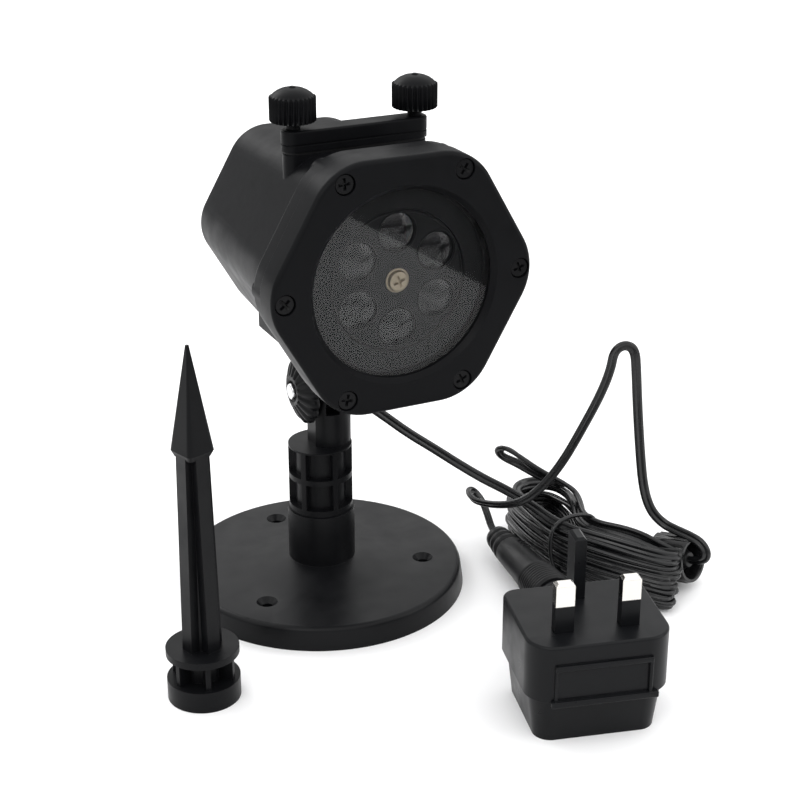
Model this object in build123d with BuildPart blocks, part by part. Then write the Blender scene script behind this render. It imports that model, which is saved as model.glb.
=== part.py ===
from build123d import *
import math
import os

# A six-lens pattern projector on a table stand, with its ground stake, mains adapter and leads.
# Millimetres. The origin is the centre of the base disc on the floor, +Z up, and the head looks
# along -Y. X runs along the hinge of the head.

# ---- base disc -------------------------------------------------------------------------------
BASE_RADIUS = 54.0
BASE_TOP_RADIUS = 52.8
BASE_THICKNESS = 8.7
BASE_EDGE_FILLET = 2.0
BASE_WALL = 2.6
BASE_RIM = 3.2
BASE_HUB_RADIUS = 14.0
BASE_RIB = 2.0
CONE_RADIUS = 32.0
CONE_RISE = 2.8
COLLAR_RADIUS = 12.6
COLLAR_TOP = 31.7
SOCKET_FLOOR = 12.0
BASE_SCREW_PCD = 77.0
BASE_SCREW_COUNT = 3
BASE_SCREW_ANGLE = -25.0
BASE_SCREW_RADIUS = 2.1
BASE_SINK_RADIUS = 3.9
BASE_BOSS_RADIUS = 6.0

# ---- plug that joins the arm to the base or to the stake --------------------------------------
PLUG_RADIUS = 10.1
PLUG_LENGTH = 7.4
RUNNING_CLEARANCE = 0.05
SOCKET_RADIUS = PLUG_RADIUS + RUNNING_CLEARANCE

# ---- arm -------------------------------------------------------------------------------------
CAGE_RADIUS = 11.9
CAGE_CORE_RADIUS = 9.4
CAGE_HEIGHT = 26.1
CAGE_FOOT_RING = 2.5
CAGE_WINDOW = 10.4
CAGE_BAND = 2.1
CAGE_RIBS = 6
CAGE_RIB_WIDTH = 2.0
CAGE_RIB_ANGLE = -85.0
POST_RADIUS = 8.1
POST_OFFSET = CAGE_RADIUS - POST_RADIUS
HINGE_Z = 80.0
SLOT_WIDTH = 5.0
SLOT_CENTRE = 2.2
SLOT_FLOOR_GAP = 0.8
POST_FLAT = 1.0
BOLT_RADIUS = 2.0
NUT_FLATS = 7.0
NUT_THICKNESS = 3.2
FIT = 0.1

# ---- locking knob ----------------------------------------------------------------------------
KNOB_RADIUS = 12.8
KNOB_THICKNESS = 6.4
KNOB_RIM = 2.6
KNOB_FACE_RADIUS = 6.2
KNOB_FLUTES = 16
KNOB_FLUTE_RADIUS = 1.9
KNOB_RECESS = 1.2
WASHER_THICKNESS = 1.0
WASHER_RADIUS = 4.6
BOLT_HEAD_RADIUS = 3.0
BOLT_HEAD_THICKNESS = 2.2

# ---- head ------------------------------------------------------------------------------------
HEAD_FRONT_Y = -73.0
HEAD_AXIS_Z = 142.0
BEZEL_APOTHEM = 42.5
BEZEL_CORNER = 20.0
BEZEL_DEPTH = 10.0
BEZEL_FILLET = 1.8
WINDOW_RADIUS = 31.5
WINDOW_BEVEL = 1.6
GLASS_RADIUS = 33.0
GLASS_THICKNESS = 2.0
GLASS_DEPTH = 2.6
SEAL_WIDTH = 2.4
MASK_THICKNESS = 4.2
MASK_RADIUS = 35.0
BEZEL_SCREW_CIRCLE = 41.5
BEZEL_SCREWS = 6
SCREW_HEAD_RADIUS = 3.4
SCREW_HEAD_THICKNESS = 2.0
SCREW_RADIUS = 1.5
SCREW_LENGTH = 15.0
SCREW_COUNTERSINK = 0.6
CROSS_LENGTH = 3.6
CROSS_WIDTH = 0.9
CROSS_DEPTH = 1.1
FLANGE_APOTHEM = 42.0
FLANGE_CORNER = 19.5
FLANGE_DEPTH = 8.0
SHELL_FRONT_APOTHEM = 37.5
SHELL_REAR_APOTHEM = 33.4
SHELL_CORNER = 15.0
SHELL_WALL = 2.2
SHELL_DEPTH = 93.0
SHELL_REAR_FILLET = 2.6
BOSS_RADIUS = 4.2
KEEL_HALF_WIDTH = 17.0
KEEL_BOTTOM_Z = 101.5
KEEL_REAR_Y = 16.5
KEEL_FRONT_Y = -58.0
LUG_PLATE_THICKNESS = 3.0
LUG_PLATE_LENGTH = 20.0
LUG_PLATE_WIDTH = 28.0
LUG_RADIUS = 8.3
LUG_SCREW_SPACING_X = 20.0
LUG_SCREW_SPACING_Y = 12.0
LUG_SCREW_RADIUS = 1.4

# ---- slot for the pattern slide, its cover and thumb screws -----------------------------------
POCKET_DEPTH = 38.5
POCKET_LENGTH = 51.0
POCKET_WIDTH = 7.4
COVER_TOP_Z = 186.8
COVER_THICKNESS = 7.0
GASKET_THICKNESS = 1.0
GASKET_INSET = 1.0
SLIDE_WIDTH = 34.0
SLIDE_THICKNESS = 3.0
SLIDE_LENGTH = 62.0
SLIDE_GAP = 0.4
FILM_RADIUS = 14.5
FILM_THICKNESS = 0.8
GUIDE_WALL = 2.4
THUMB_SPACING = 43.6
THUMB_RADIUS = 7.65
THUMB_HEIGHT = 8.4
THUMB_DOME = 3.1
THUMB_FLUTES = 28
THUMB_FLUTE_RADIUS = 0.5
THUMB_NECK_RADIUS = 2.4
THUMB_NECK = 2.4
THUMB_SHANK_RADIUS = 1.9
THUMB_SHANK = 14.0

# ---- optics and electrics inside the head -----------------------------------------------------
WHEEL_RADIUS = 23.5
WHEEL_THICKNESS = 3.0
WHEEL_DEPTH = 6.6
LENS_COUNT = 6
LENS_CIRCLE = 16.2
LENS_RADIUS = 6.5
LENS_EDGE = 2.0
LENS_DOME = 1.6
LENS_SEAT = 0.5
LENS_SEAT_RADIUS = 6.0
HUB_SCREW_HEAD_RADIUS = 3.4
HUB_SCREW_HEAD_THICKNESS = 1.6
HUB_SCREW_RADIUS = 1.25
MOTOR_RADIUS = 8.0
MOTOR_LENGTH = 7.6
MOTOR_DEPTH = 14.6
MOTOR_SHAFT_RADIUS = 2.2
BRACKET_THICKNESS = 1.6
BRACKET_ARMS = 3
BRACKET_ARM_WIDTH = 4.0
BRACKET_RING_WIDTH = 4.0
CONDENSER_DEPTH = 43.8
CONDENSER_RADIUS = 8.0
CONDENSER_THICKNESS = 4.6
LED_COUNT = 4
LED_CIRCLE = 14.0
LED_SIDE = 3.5
LED_THICKNESS = 1.2
LED_BOARD_DEPTH = 51.0
LED_BOARD_RADIUS = 25.0
BOARD_THICKNESS = 1.6
SINK_DEPTH = 22.0
SINK_SIDE = 44.0
SINK_BASE = 4.0
SINK_FINS = 9
SINK_FIN_THICKNESS = 1.6
DRIVER_DEPTH = 77.0
DRIVER_WIDTH = 46.0
DRIVER_HEIGHT = 38.0
GLAND_X = 12.4
GLAND_Y = 12.4
GLAND_RADIUS = 3.4
GLAND_TIP_RADIUS = 2.4
GLAND_LENGTH = 14.0
GLAND_SPIGOT_RADIUS = 2.6

# ---- ground stake, stood on its socket ring ---------------------------------------------------
STAKE_X = -68.7
STAKE_Y = -56.9
STAKE_RING_RADIUS = 12.5
STAKE_RING_HEIGHT = 7.6
STAKE_CAGE_HEIGHT = 9.1
STAKE_ROOF = 1.4
STAKE_RIB_RADIUS = 10.9
STAKE_RIBS = 6
STAKE_RIB_WIDTH = 1.8
STAKE_COLUMN_RADIUS = 6.0
STAKE_FLANGE = 2.5
STAKE_SHAFT_TOP = 90.0
STAKE_HEIGHT = 128.0
STAKE_FOOT_WIDTH = 13.0
STAKE_NECK_WIDTH = 9.8
STAKE_WEB = 5.0
STAKE_ARROW_WIDTH = 10.8
STAKE_ARROW_CORNER = 1.5
STAKE_SHOULDER = 2.0
STAKE_UNDERCUT = 1.6
STAKE_CORE = 0.62
STAKE_TIP_WIDTH = 1.0
STAKE_TURN = 19.0

# ---- mains adapter, lying pins up (pin sizes are those of the 13 A plug) ----------------------
PLUG_TOP_X = 40.8
PLUG_TOP_Y = -129.8
PLUG_TOP_TURN = -14.2
CASE_TOP_Z = 37.0
CASE_HALF_WIDTH = 24.3
CASE_FRONT = -10.9
CASE_BACK = 29.4
CASE_CORNER = 9.5
CASE_BACK_CORNER = 5.0
CASE_SPLIT_Z = 16.5
CASE_WALL = 2.2
LOWER_INSET = 1.6
LOWER_TAPER = 7.0
PIN_SPACING = 22.2
PIN_WIDTH = 6.35
PIN_THICKNESS = 3.98
PIN_LENGTH = 17.7
PIN_SLEEVE = 9.5
PIN_SLEEVE_WALL = 0.35
EARTH_OFFSET = 22.2
EARTH_WIDTH = 4.0
EARTH_THICKNESS = 8.0
EARTH_LENGTH = 22.7
PIN_ROOT = 2.0
PIN_CHAMFER = 0.9
PANEL_WIDTH = 33.0
PANEL_RIB = 1.1
PANEL_PROUD = 0.7
PANEL_DROP = 6.5
CIRCUIT_DROP = 4.0
CIRCUIT_MARGIN = 14.0
CIRCUIT_PARTS_HEIGHT = 12.0
STUB_X = 12.6

# ---- leads -----------------------------------------------------------------------------------
LEAD_RADIUS = 1.45
CONNECTOR_Z = 8.8
CONNECTOR_NUT_Y = -58.1
CONNECTOR_NUT_X = 64.9
CONNECTOR_BOOT_Y = -14.1
CONNECTOR_BOOT_X = 68.7
NUT_RADIUS = 8.5
NUT_BORE_RADIUS = 6.6
NUT_LENGTH = 14.0
NUT_RIBS = 22
NUT_RIB_RADIUS = 0.55
BODY_RADIUS = 5.6
BOOT_RADIUS = 4.6
BOOT_TIP_RADIUS = 3.2
COUPLING_X = 120.0
COUPLING_Y = -61.0
COUPLING_Z = 10.3
COUPLING_TURN = -66.0
COUPLING_RISE = 11.0
COUPLING_LENGTH = 16.5
HANK_HEIGHT = 23.0
HANK_FLOOR = 0.4
TIE_THICKNESS = 1.2
TIE_WIDTH = 2.2
TIE_SHIFT = 0.7

# Points of the lamp's lead from the gland to the hank, and of the link lead from the adapter's
# connector over the hank to the coupling.
LAMP_ROUTE = [
    (12.4, 12.4, 87.3),
    (13.2, 12.4, 77.6),
    (18.6, 12.2, 68.8),
    (29.9, 11.0, 59.4),
    (41.2, 10.0, 49.2),
    (51.2, 8.0, 41.6),
    (60.2, 4.0, 34.6),
    (67.8, -3.0, 29.5),
    (74.5, -11.5, 26.4),
    (80.5, -20.0, 23.6),
]
LINK_ROUTE = [
    (69.3, -7.4, 9.2),
    (69.6, -1.6, 10.6),
    (70.4, 3.4, 14.8),
    (69.4, 5.0, 20.4),
    (65.4, 3.8, 24.2),
    (61.9, -0.4, 24.2),
    (61.6, -6.2, 22.8),
    (64.6, -13.2, 23.4),
    (68.6, -21.2, 25.8),
    (73.4, -27.6, 29.6),
    (79.6, -31.0, 36.6),
    (85.4, -34.5, 47.1),
    (90.6, -37.4, 59.6),
    (96.0, -40.6, 73.6),
    (98.8, -42.7, 84.4),
    (99.5, -43.3, 92.2),
    (103.4, -44.4, 94.6),
    (107.3, -45.4, 92.2),
    (107.8, -46.3, 84.0),
    (108.4, -47.6, 69.6),
    (109.9, -49.0, 50.6),
    (111.6, -50.0, 36.4),
    (115.0, -51.2, 27.0),
    (118.6, -55.0, 22.0),
    (121.0, -61.6, 22.2),
    (123.4, -67.8, 23.0),
    (126.0, -73.2, 22.0),
    (127.2, -76.2, 17.6),
    (125.9, -74.2, 13.2),
    (122.9, -67.5, 11.7),
]
TAIL_ROUTE = [
    (112.9, -45.2, 7.0),
    (110.4, -39.8, 6.0),
    (106.4, -35.6, 6.0),
    (101.4, -33.4, 6.6),
    (97.8, -32.9, 7.4),
]
ARC_SHARE = 0.45


def head_plane(depth):
    """Plane across the head at a distance behind the bezel's front face, looking out of it."""
    origin = (0, HEAD_FRONT_Y + depth, HEAD_AXIS_Z)
    return Plane(origin=origin, x_dir=(1, 0, 0), z_dir=(0, -1, 0))


def hexagon(outline, apothem, corner):
    """Adds a flat-topped hexagon with round corners to the open sketch."""
    RegularPolygon(radius=apothem, side_count=6, major_radius=False)
    fillet(outline.vertices(), radius=corner)


def shell_apothem(depth):
    """Outer apothem of the tapering rear shell at a depth behind the bezel's front face."""
    start = BEZEL_DEPTH + FLANGE_DEPTH
    share = (depth - start) / (SHELL_DEPTH - start)
    return SHELL_FRONT_APOTHEM + share * (SHELL_REAR_APOTHEM - SHELL_FRONT_APOTHEM)


def save(part, label):
    """Labels a finished piece and writes it to its own file."""
    part.label = label
    export_step(part, f"parts/{label}.step")


def polar(radius, angle):
    """Point at a radius and an angle in degrees."""
    return radius * math.cos(math.radians(angle)), radius * math.sin(math.radians(angle))


def cap_arc(foot_radius, height):
    """Adds half the outline of a spherical cap, from its foot to its top on the axis."""
    sphere = (foot_radius**2 + height**2) / (2 * height)
    middle = polar(sphere, 90 - math.degrees(math.asin(foot_radius / sphere)) / 2)
    ThreePointArc((foot_radius, 0), (middle[0], middle[1] + height - sphere), (0, height))


def lead_path(route, name):
    """Straight runs joined by the largest tangent arcs that the runs allow, with its radii."""
    points = [Vector(*p) for p in route]
    runs = [(b - a) for a, b in zip(points, points[1:])]
    radii = []
    for before, after in zip(runs, runs[1:]):
        half_turn = math.radians(before.get_angle(after)) / 2
        radii.append(ARC_SHARE * min(before.length, after.length) / math.tan(half_turn))
    print(name, "runs", [round(r.length, 1) for r in runs])
    print(name, "radii", [round(r, 1) for r in radii])
    return FilletPolyline(*points, radius=radii)


def lead_tube(route, name):
    """A lead's plain tube along its route, with its volume compared with section times length."""
    with BuildPart() as tube:
        with BuildLine() as line:
            lead_path(route, name)
        with BuildSketch(Plane(origin=line.wire() @ 0, z_dir=line.wire() % 0)):
            Circle(LEAD_RADIUS)
        sweep(path=line.wire())
    expected = math.pi * LEAD_RADIUS**2 * line.wire().length
    ratio = tube.part.volume / expected
    print(name, "length", round(line.wire().length, 1), "volume ratio", round(ratio, 4))
    return tube.part


def ribbed_nut(plane, length, label):
    """Coupling nut: a ribbed ring round an open bore, centred on the plane's origin."""
    with BuildPart() as nut:
        with BuildSketch(plane.offset(-length / 2)):
            Circle(NUT_RADIUS - NUT_RIB_RADIUS)
            with PolarLocations(NUT_RADIUS - NUT_RIB_RADIUS, NUT_RIBS):
                Circle(NUT_RIB_RADIUS)
            Circle(NUT_BORE_RADIUS, mode=Mode.SUBTRACT)
        extrude(amount=length)
    save(nut.part, label)


def revolved_body(plane, outline, label):
    """Turned body on the plane's normal, from (distance along, radius) pairs."""
    turned = Plane(origin=plane.origin, x_dir=plane.z_dir, z_dir=plane.x_dir)
    with BuildPart() as body:
        with BuildSketch(turned):
            with BuildLine():
                Polyline((outline[0][0], 0), *outline, (outline[-1][0], 0), close=True)
            make_face()
        revolve(axis=Axis(plane.origin, plane.z_dir))
    save(body.part, label)


os.makedirs("parts", exist_ok=True)

# ================================================================ base disc with its collar
COLLAR_FOOT_Z = BASE_THICKNESS + CONE_RISE
with BuildPart() as base_disc:
    with BuildSketch(Plane.XZ):
        with BuildLine():
            Polyline(
                (0, 0),
                (BASE_RADIUS, 0),
                (BASE_TOP_RADIUS, BASE_THICKNESS),
                (CONE_RADIUS, BASE_THICKNESS),
                (COLLAR_RADIUS, COLLAR_FOOT_Z),
                (COLLAR_RADIUS, COLLAR_TOP),
                (0, COLLAR_TOP),
                close=True,
            )
        make_face()
    revolve(axis=Axis.Z)
    rim = base_disc.edges().filter_by(GeomType.CIRCLE)
    fillet([e for e in rim if abs(e.radius - BASE_TOP_RADIUS) < 0.01], radius=BASE_EDGE_FILLET)
    with BuildSketch(Plane.XY) as recess:
        Circle(BASE_RADIUS - BASE_RIM)
        Circle(BASE_HUB_RADIUS, mode=Mode.SUBTRACT)
        with PolarLocations(0, BASE_SCREW_COUNT, start_angle=BASE_SCREW_ANGLE):
            Rectangle(2 * BASE_RADIUS, BASE_RIB, mode=Mode.SUBTRACT)
        with PolarLocations(BASE_SCREW_PCD / 2, BASE_SCREW_COUNT, start_angle=BASE_SCREW_ANGLE):
            Circle(BASE_BOSS_RADIUS, mode=Mode.SUBTRACT)
    extrude(amount=BASE_THICKNESS - BASE_WALL, mode=Mode.SUBTRACT)
    with Locations((0, 0, COLLAR_TOP)):
        Hole(SOCKET_RADIUS, depth=COLLAR_TOP - SOCKET_FLOOR)
    with Locations(Plane.XY.offset(BASE_THICKNESS)):
        with PolarLocations(BASE_SCREW_PCD / 2, BASE_SCREW_COUNT, start_angle=BASE_SCREW_ANGLE):
            CounterSinkHole(BASE_SCREW_RADIUS, BASE_SINK_RADIUS, depth=BASE_THICKNESS + 1)
save(base_disc.part, "base_disc")

# ================================================================ arm: plug, cage, post and fork
CAGE_TOP = COLLAR_TOP + CAGE_HEIGHT
with BuildPart() as post:
    with BuildSketch(Plane.XY.offset(CAGE_TOP - 1)):
        with Locations((POST_OFFSET, 0)):
            Circle(POST_RADIUS)
    extrude(amount=HINGE_Z + POST_RADIUS - CAGE_TOP + 1)
    with BuildSketch(Plane.YZ):
        with Locations((0, (CAGE_TOP + HINGE_Z) / 2 - 1)):
            Rectangle(2 * POST_RADIUS, HINGE_Z - CAGE_TOP + 2)
        with Locations((0, HINGE_Z)):
            Circle(POST_RADIUS)
    extrude(amount=CAGE_RADIUS + POST_RADIUS, both=True, mode=Mode.INTERSECT)
with BuildPart() as stand_arm:
    with BuildSketch(Plane.XY.offset(COLLAR_TOP - PLUG_LENGTH)):
        Circle(PLUG_RADIUS)
    extrude(amount=PLUG_LENGTH)
    with BuildSketch(Plane.XY.offset(COLLAR_TOP)):
        Circle(CAGE_RADIUS)
    extrude(amount=CAGE_HEIGHT)
    for row in range(2):
        window_z = COLLAR_TOP + CAGE_FOOT_RING + row * (CAGE_WINDOW + CAGE_BAND)
        with BuildSketch(Plane.XY.offset(window_z)):
            Circle(CAGE_RADIUS + 1)
            Circle(CAGE_CORE_RADIUS, mode=Mode.SUBTRACT)
            with PolarLocations(CAGE_RADIUS, CAGE_RIBS, start_angle=CAGE_RIB_ANGLE):
                Rectangle(CAGE_RADIUS, CAGE_RIB_WIDTH, mode=Mode.SUBTRACT)
        extrude(amount=CAGE_WINDOW, mode=Mode.SUBTRACT)
    add(post.part)
    lug_slot_floor = HINGE_Z - LUG_RADIUS - SLOT_FLOOR_GAP
    with BuildSketch(Plane.XY.offset(lug_slot_floor)):
        with Locations((SLOT_CENTRE, 0)):
            Rectangle(SLOT_WIDTH, 4 * POST_RADIUS)
    extrude(amount=4 * POST_RADIUS, mode=Mode.SUBTRACT)
    flat_x = POST_OFFSET - POST_RADIUS + POST_FLAT
    with BuildSketch(Plane.XY.offset(CAGE_TOP)):
        with Locations((flat_x - POST_RADIUS, 0)):
            Rectangle(2 * POST_RADIUS, 4 * POST_RADIUS)
    extrude(amount=4 * POST_RADIUS, mode=Mode.SUBTRACT)
    with BuildSketch(Plane.YZ):
        with Locations((0, HINGE_Z)):
            Circle(BOLT_RADIUS + RUNNING_CLEARANCE)
    extrude(amount=4 * POST_RADIUS, both=True, mode=Mode.SUBTRACT)
    nut_x = POST_OFFSET + POST_RADIUS - NUT_THICKNESS - 1
    with BuildSketch(Plane.YZ.offset(nut_x)):
        with Locations((0, HINGE_Z)):
            RegularPolygon(NUT_FLATS / 2 + FIT / 2, 6, major_radius=False)
    extrude(amount=4 * NUT_THICKNESS, mode=Mode.SUBTRACT)
save(stand_arm.part, "stand_arm")

with BuildPart() as hinge_nut:
    with BuildSketch(Plane.YZ.offset(nut_x)):
        with Locations((0, HINGE_Z)):
            RegularPolygon(NUT_FLATS / 2, 6, major_radius=False)
            Circle(BOLT_RADIUS + RUNNING_CLEARANCE, mode=Mode.SUBTRACT)
    extrude(amount=NUT_THICKNESS)
save(hinge_nut.part, "hinge_nut")

# ================================================================ locking knob, washer and bolt
KNOB_INNER_X = flat_x - WASHER_THICKNESS
KNOB_OUTER_X = KNOB_INNER_X - KNOB_THICKNESS
with BuildPart() as knob_washer:
    with BuildSketch(Plane.YZ.offset(KNOB_INNER_X)):
        with Locations((0, HINGE_Z)):
            Circle(WASHER_RADIUS)
            Circle(BOLT_RADIUS, mode=Mode.SUBTRACT)
    extrude(amount=WASHER_THICKNESS)
save(knob_washer.part, "knob_washer")

with BuildPart() as locking_knob:
    with BuildSketch(Plane.YZ.offset(KNOB_OUTER_X)):
        with Locations((0, HINGE_Z)):
            Circle(KNOB_RADIUS)
            with PolarLocations(KNOB_RADIUS + KNOB_FLUTE_RADIUS / 3, KNOB_FLUTES):
                Circle(KNOB_FLUTE_RADIUS, mode=Mode.SUBTRACT)
            Circle(BOLT_RADIUS, mode=Mode.SUBTRACT)
    extrude(amount=KNOB_THICKNESS)
    with BuildSketch(Plane(origin=(0, 0, HINGE_Z), x_dir=(1, 0, 0), z_dir=(0, -1, 0))):
        with BuildLine():
            outside = KNOB_RADIUS + 1
            rim_x = KNOB_INNER_X - KNOB_RIM
            face = (KNOB_OUTER_X - 1, KNOB_FACE_RADIUS)
            Polyline(face, (KNOB_OUTER_X, KNOB_FACE_RADIUS), (rim_x, KNOB_RADIUS), (rim_x, outside))
            Polyline((rim_x, outside), (face[0], outside), face)
        make_face()
    revolve(axis=Axis((0, 0, HINGE_Z), (1, 0, 0)), mode=Mode.SUBTRACT)
    with BuildSketch(Plane.YZ.offset(KNOB_OUTER_X)):
        with Locations((0, HINGE_Z)):
            Circle(BOLT_HEAD_RADIUS + FIT)
    extrude(amount=KNOB_RECESS, mode=Mode.SUBTRACT)
save(locking_knob.part, "locking_knob")

with BuildPart() as hinge_bolt:
    with BuildSketch(Plane.YZ.offset(KNOB_OUTER_X + KNOB_RECESS)):
        with Locations((0, HINGE_Z)):
            Circle(BOLT_RADIUS)
    extrude(amount=nut_x + NUT_THICKNESS + 0.6 - KNOB_OUTER_X - KNOB_RECESS)
    with BuildSketch(Plane.YZ.offset(KNOB_OUTER_X + KNOB_RECESS - BOLT_HEAD_THICKNESS)):
        with Locations((0, HINGE_Z)):
            Circle(BOLT_HEAD_RADIUS)
    extrude(amount=BOLT_HEAD_THICKNESS)
    head_rim = hinge_bolt.faces().sort_by(Axis.X)[0].edges()
    fillet(head_rim, radius=BOLT_HEAD_THICKNESS / 3)
save(hinge_bolt.part, "hinge_bolt")

# ================================================================ front bezel
FLANGE_START = BEZEL_DEPTH
SHELL_START = BEZEL_DEPTH + FLANGE_DEPTH
with BuildPart() as front_bezel:
    with BuildSketch(head_plane(0)) as outline:
        hexagon(outline, BEZEL_APOTHEM, BEZEL_CORNER)
    extrude(amount=-BEZEL_DEPTH)
    fillet(front_bezel.faces().sort_by(Axis.Y)[0].edges(), radius=BEZEL_FILLET)
    with Locations(head_plane(0)):
        CounterSinkHole(WINDOW_RADIUS, WINDOW_RADIUS + WINDOW_BEVEL, depth=BEZEL_DEPTH + 1)
        with PolarLocations(BEZEL_SCREW_CIRCLE, BEZEL_SCREWS):
            CounterBoreHole(
                SCREW_RADIUS + FIT,
                SCREW_HEAD_RADIUS + FIT,
                SCREW_HEAD_THICKNESS + SCREW_COUNTERSINK,
                depth=BEZEL_DEPTH + 1,
            )
    with BuildSketch(head_plane(GLASS_DEPTH)):
        Circle(GLASS_RADIUS + FIT)
    extrude(amount=-BEZEL_DEPTH, mode=Mode.SUBTRACT)
    with BuildSketch(head_plane(BEZEL_DEPTH - MASK_THICKNESS)):
        Circle(MASK_RADIUS + FIT)
    extrude(amount=-BEZEL_DEPTH, mode=Mode.SUBTRACT)
save(front_bezel.part, "front_bezel")

with BuildPart() as window_glass:
    with BuildSketch(head_plane(GLASS_DEPTH)):
        Circle(GLASS_RADIUS)
    extrude(amount=-GLASS_THICKNESS)
save(window_glass.part, "window_glass")

SEAL_START = GLASS_DEPTH + GLASS_THICKNESS
with BuildPart() as window_seal:
    with BuildSketch(head_plane(SEAL_START)):
        Circle(GLASS_RADIUS)
        Circle(GLASS_RADIUS - SEAL_WIDTH, mode=Mode.SUBTRACT)
    extrude(amount=-(BEZEL_DEPTH - MASK_THICKNESS - SEAL_START))
save(window_seal.part, "window_seal")

with BuildPart() as inner_mask:
    with BuildSketch(head_plane(BEZEL_DEPTH - MASK_THICKNESS)):
        Circle(MASK_RADIUS)
        Circle(WHEEL_RADIUS + 0.4, mode=Mode.SUBTRACT)
    extrude(amount=-MASK_THICKNESS)
save(inner_mask.part, "inner_mask")

screw_seat = SCREW_COUNTERSINK + SCREW_HEAD_THICKNESS
with BuildPart() as bezel_screws:
    with BuildSketch(head_plane(screw_seat)):
        with PolarLocations(BEZEL_SCREW_CIRCLE, BEZEL_SCREWS):
            Circle(SCREW_HEAD_RADIUS)
    extrude(amount=SCREW_HEAD_THICKNESS)
    with BuildSketch(head_plane(screw_seat)):
        with PolarLocations(BEZEL_SCREW_CIRCLE, BEZEL_SCREWS):
            Circle(SCREW_RADIUS)
    extrude(amount=-SCREW_LENGTH)
    with BuildSketch(head_plane(SCREW_COUNTERSINK)):
        with PolarLocations(BEZEL_SCREW_CIRCLE, BEZEL_SCREWS, rotate=False):
            Rectangle(CROSS_LENGTH, CROSS_WIDTH, rotation=45)
            Rectangle(CROSS_WIDTH, CROSS_LENGTH, rotation=45)
    extrude(amount=-CROSS_DEPTH, mode=Mode.SUBTRACT)
save(bezel_screws.part, "bezel_screws")

# ================================================================ rear housing
POCKET_Y = HEAD_FRONT_Y + POCKET_DEPTH
POCKET_TOP_Z = COVER_TOP_Z - COVER_THICKNESS - GASKET_THICKNESS
GUIDE_DEPTH = POCKET_DEPTH - SLIDE_THICKNESS / 2 - SLIDE_GAP - GUIDE_WALL
inner_corner = SHELL_CORNER - SHELL_WALL
with BuildPart() as rear_housing:
    with BuildSketch(head_plane(FLANGE_START)) as outline:
        hexagon(outline, FLANGE_APOTHEM, FLANGE_CORNER)
    extrude(amount=-FLANGE_DEPTH)
    fillet(rear_housing.faces().sort_by(Axis.Y)[-1].edges(), radius=BEZEL_FILLET)
    with BuildSketch(head_plane(SHELL_START - 0.5)) as outline:
        hexagon(outline, shell_apothem(SHELL_START - 0.5), SHELL_CORNER)
    with BuildSketch(head_plane(SHELL_DEPTH)) as outline:
        hexagon(outline, SHELL_REAR_APOTHEM, SHELL_CORNER)
    loft()
    fillet(rear_housing.faces().sort_by(Axis.Y)[-1].edges(), radius=SHELL_REAR_FILLET)
    with BuildSketch(Plane.XY.offset(HEAD_AXIS_Z)):
        with Locations((0, POCKET_Y)):
            SlotOverall(POCKET_LENGTH, POCKET_WIDTH)
    extrude(amount=POCKET_TOP_Z - HEAD_AXIS_Z)
    with BuildSketch(Plane.XY.offset(KEEL_BOTTOM_Z)):
        with Locations((0, (KEEL_REAR_Y + KEEL_FRONT_Y) / 2)):
            RectangleRounded(2 * KEEL_HALF_WIDTH, KEEL_REAR_Y - KEEL_FRONT_Y, 2.0)
    extrude(amount=HEAD_AXIS_Z - KEEL_BOTTOM_Z)
    with BuildSketch(head_plane(FLANGE_START - 0.01)) as outline:
        hexagon(outline, shell_apothem(FLANGE_START) - SHELL_WALL, inner_corner)
    with BuildSketch(head_plane(SHELL_DEPTH - SHELL_WALL)) as outline:
        hexagon(outline, shell_apothem(SHELL_DEPTH - SHELL_WALL) - SHELL_WALL, inner_corner)
    loft(mode=Mode.SUBTRACT)
    with BuildSketch(head_plane(FLANGE_START)):
        with PolarLocations(BEZEL_SCREW_CIRCLE, BEZEL_SCREWS):
            Circle(BOSS_RADIUS)
    extrude(amount=-FLANGE_DEPTH)
    with BuildSketch(head_plane(FLANGE_START)):
        with PolarLocations(BEZEL_SCREW_CIRCLE, BEZEL_SCREWS):
            Circle(SCREW_RADIUS + RUNNING_CLEARANCE)
    extrude(amount=-(SCREW_LENGTH - FLANGE_START + screw_seat + 1), mode=Mode.SUBTRACT)
    with BuildSketch(Plane.XY.offset(HEAD_AXIS_Z)):
        with Locations((0, POCKET_Y)):
            Rectangle(SLIDE_WIDTH + 2 * SLIDE_GAP, SLIDE_THICKNESS + 2 * SLIDE_GAP)
    extrude(amount=POCKET_TOP_Z - HEAD_AXIS_Z + 1, mode=Mode.SUBTRACT)
    with Locations((0, POCKET_Y, POCKET_TOP_Z)):
        with GridLocations(THUMB_SPACING, 1, 2, 1):
            Hole(THUMB_SHANK_RADIUS + RUNNING_CLEARANCE, depth=THUMB_SHANK - COVER_THICKNESS)
    with Locations(Plane(origin=(0, 0, KEEL_BOTTOM_Z), x_dir=(1, 0, 0), z_dir=(0, 0, -1))):
        with GridLocations(LUG_SCREW_SPACING_X, LUG_SCREW_SPACING_Y, 2, 2):
            Hole(LUG_SCREW_RADIUS + RUNNING_CLEARANCE, depth=SHELL_WALL)
        with Locations((GLAND_X, -GLAND_Y)):
            Hole(GLAND_SPIGOT_RADIUS + FIT, depth=SHELL_WALL + 8)
save(rear_housing.part, "rear_housing")

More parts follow.
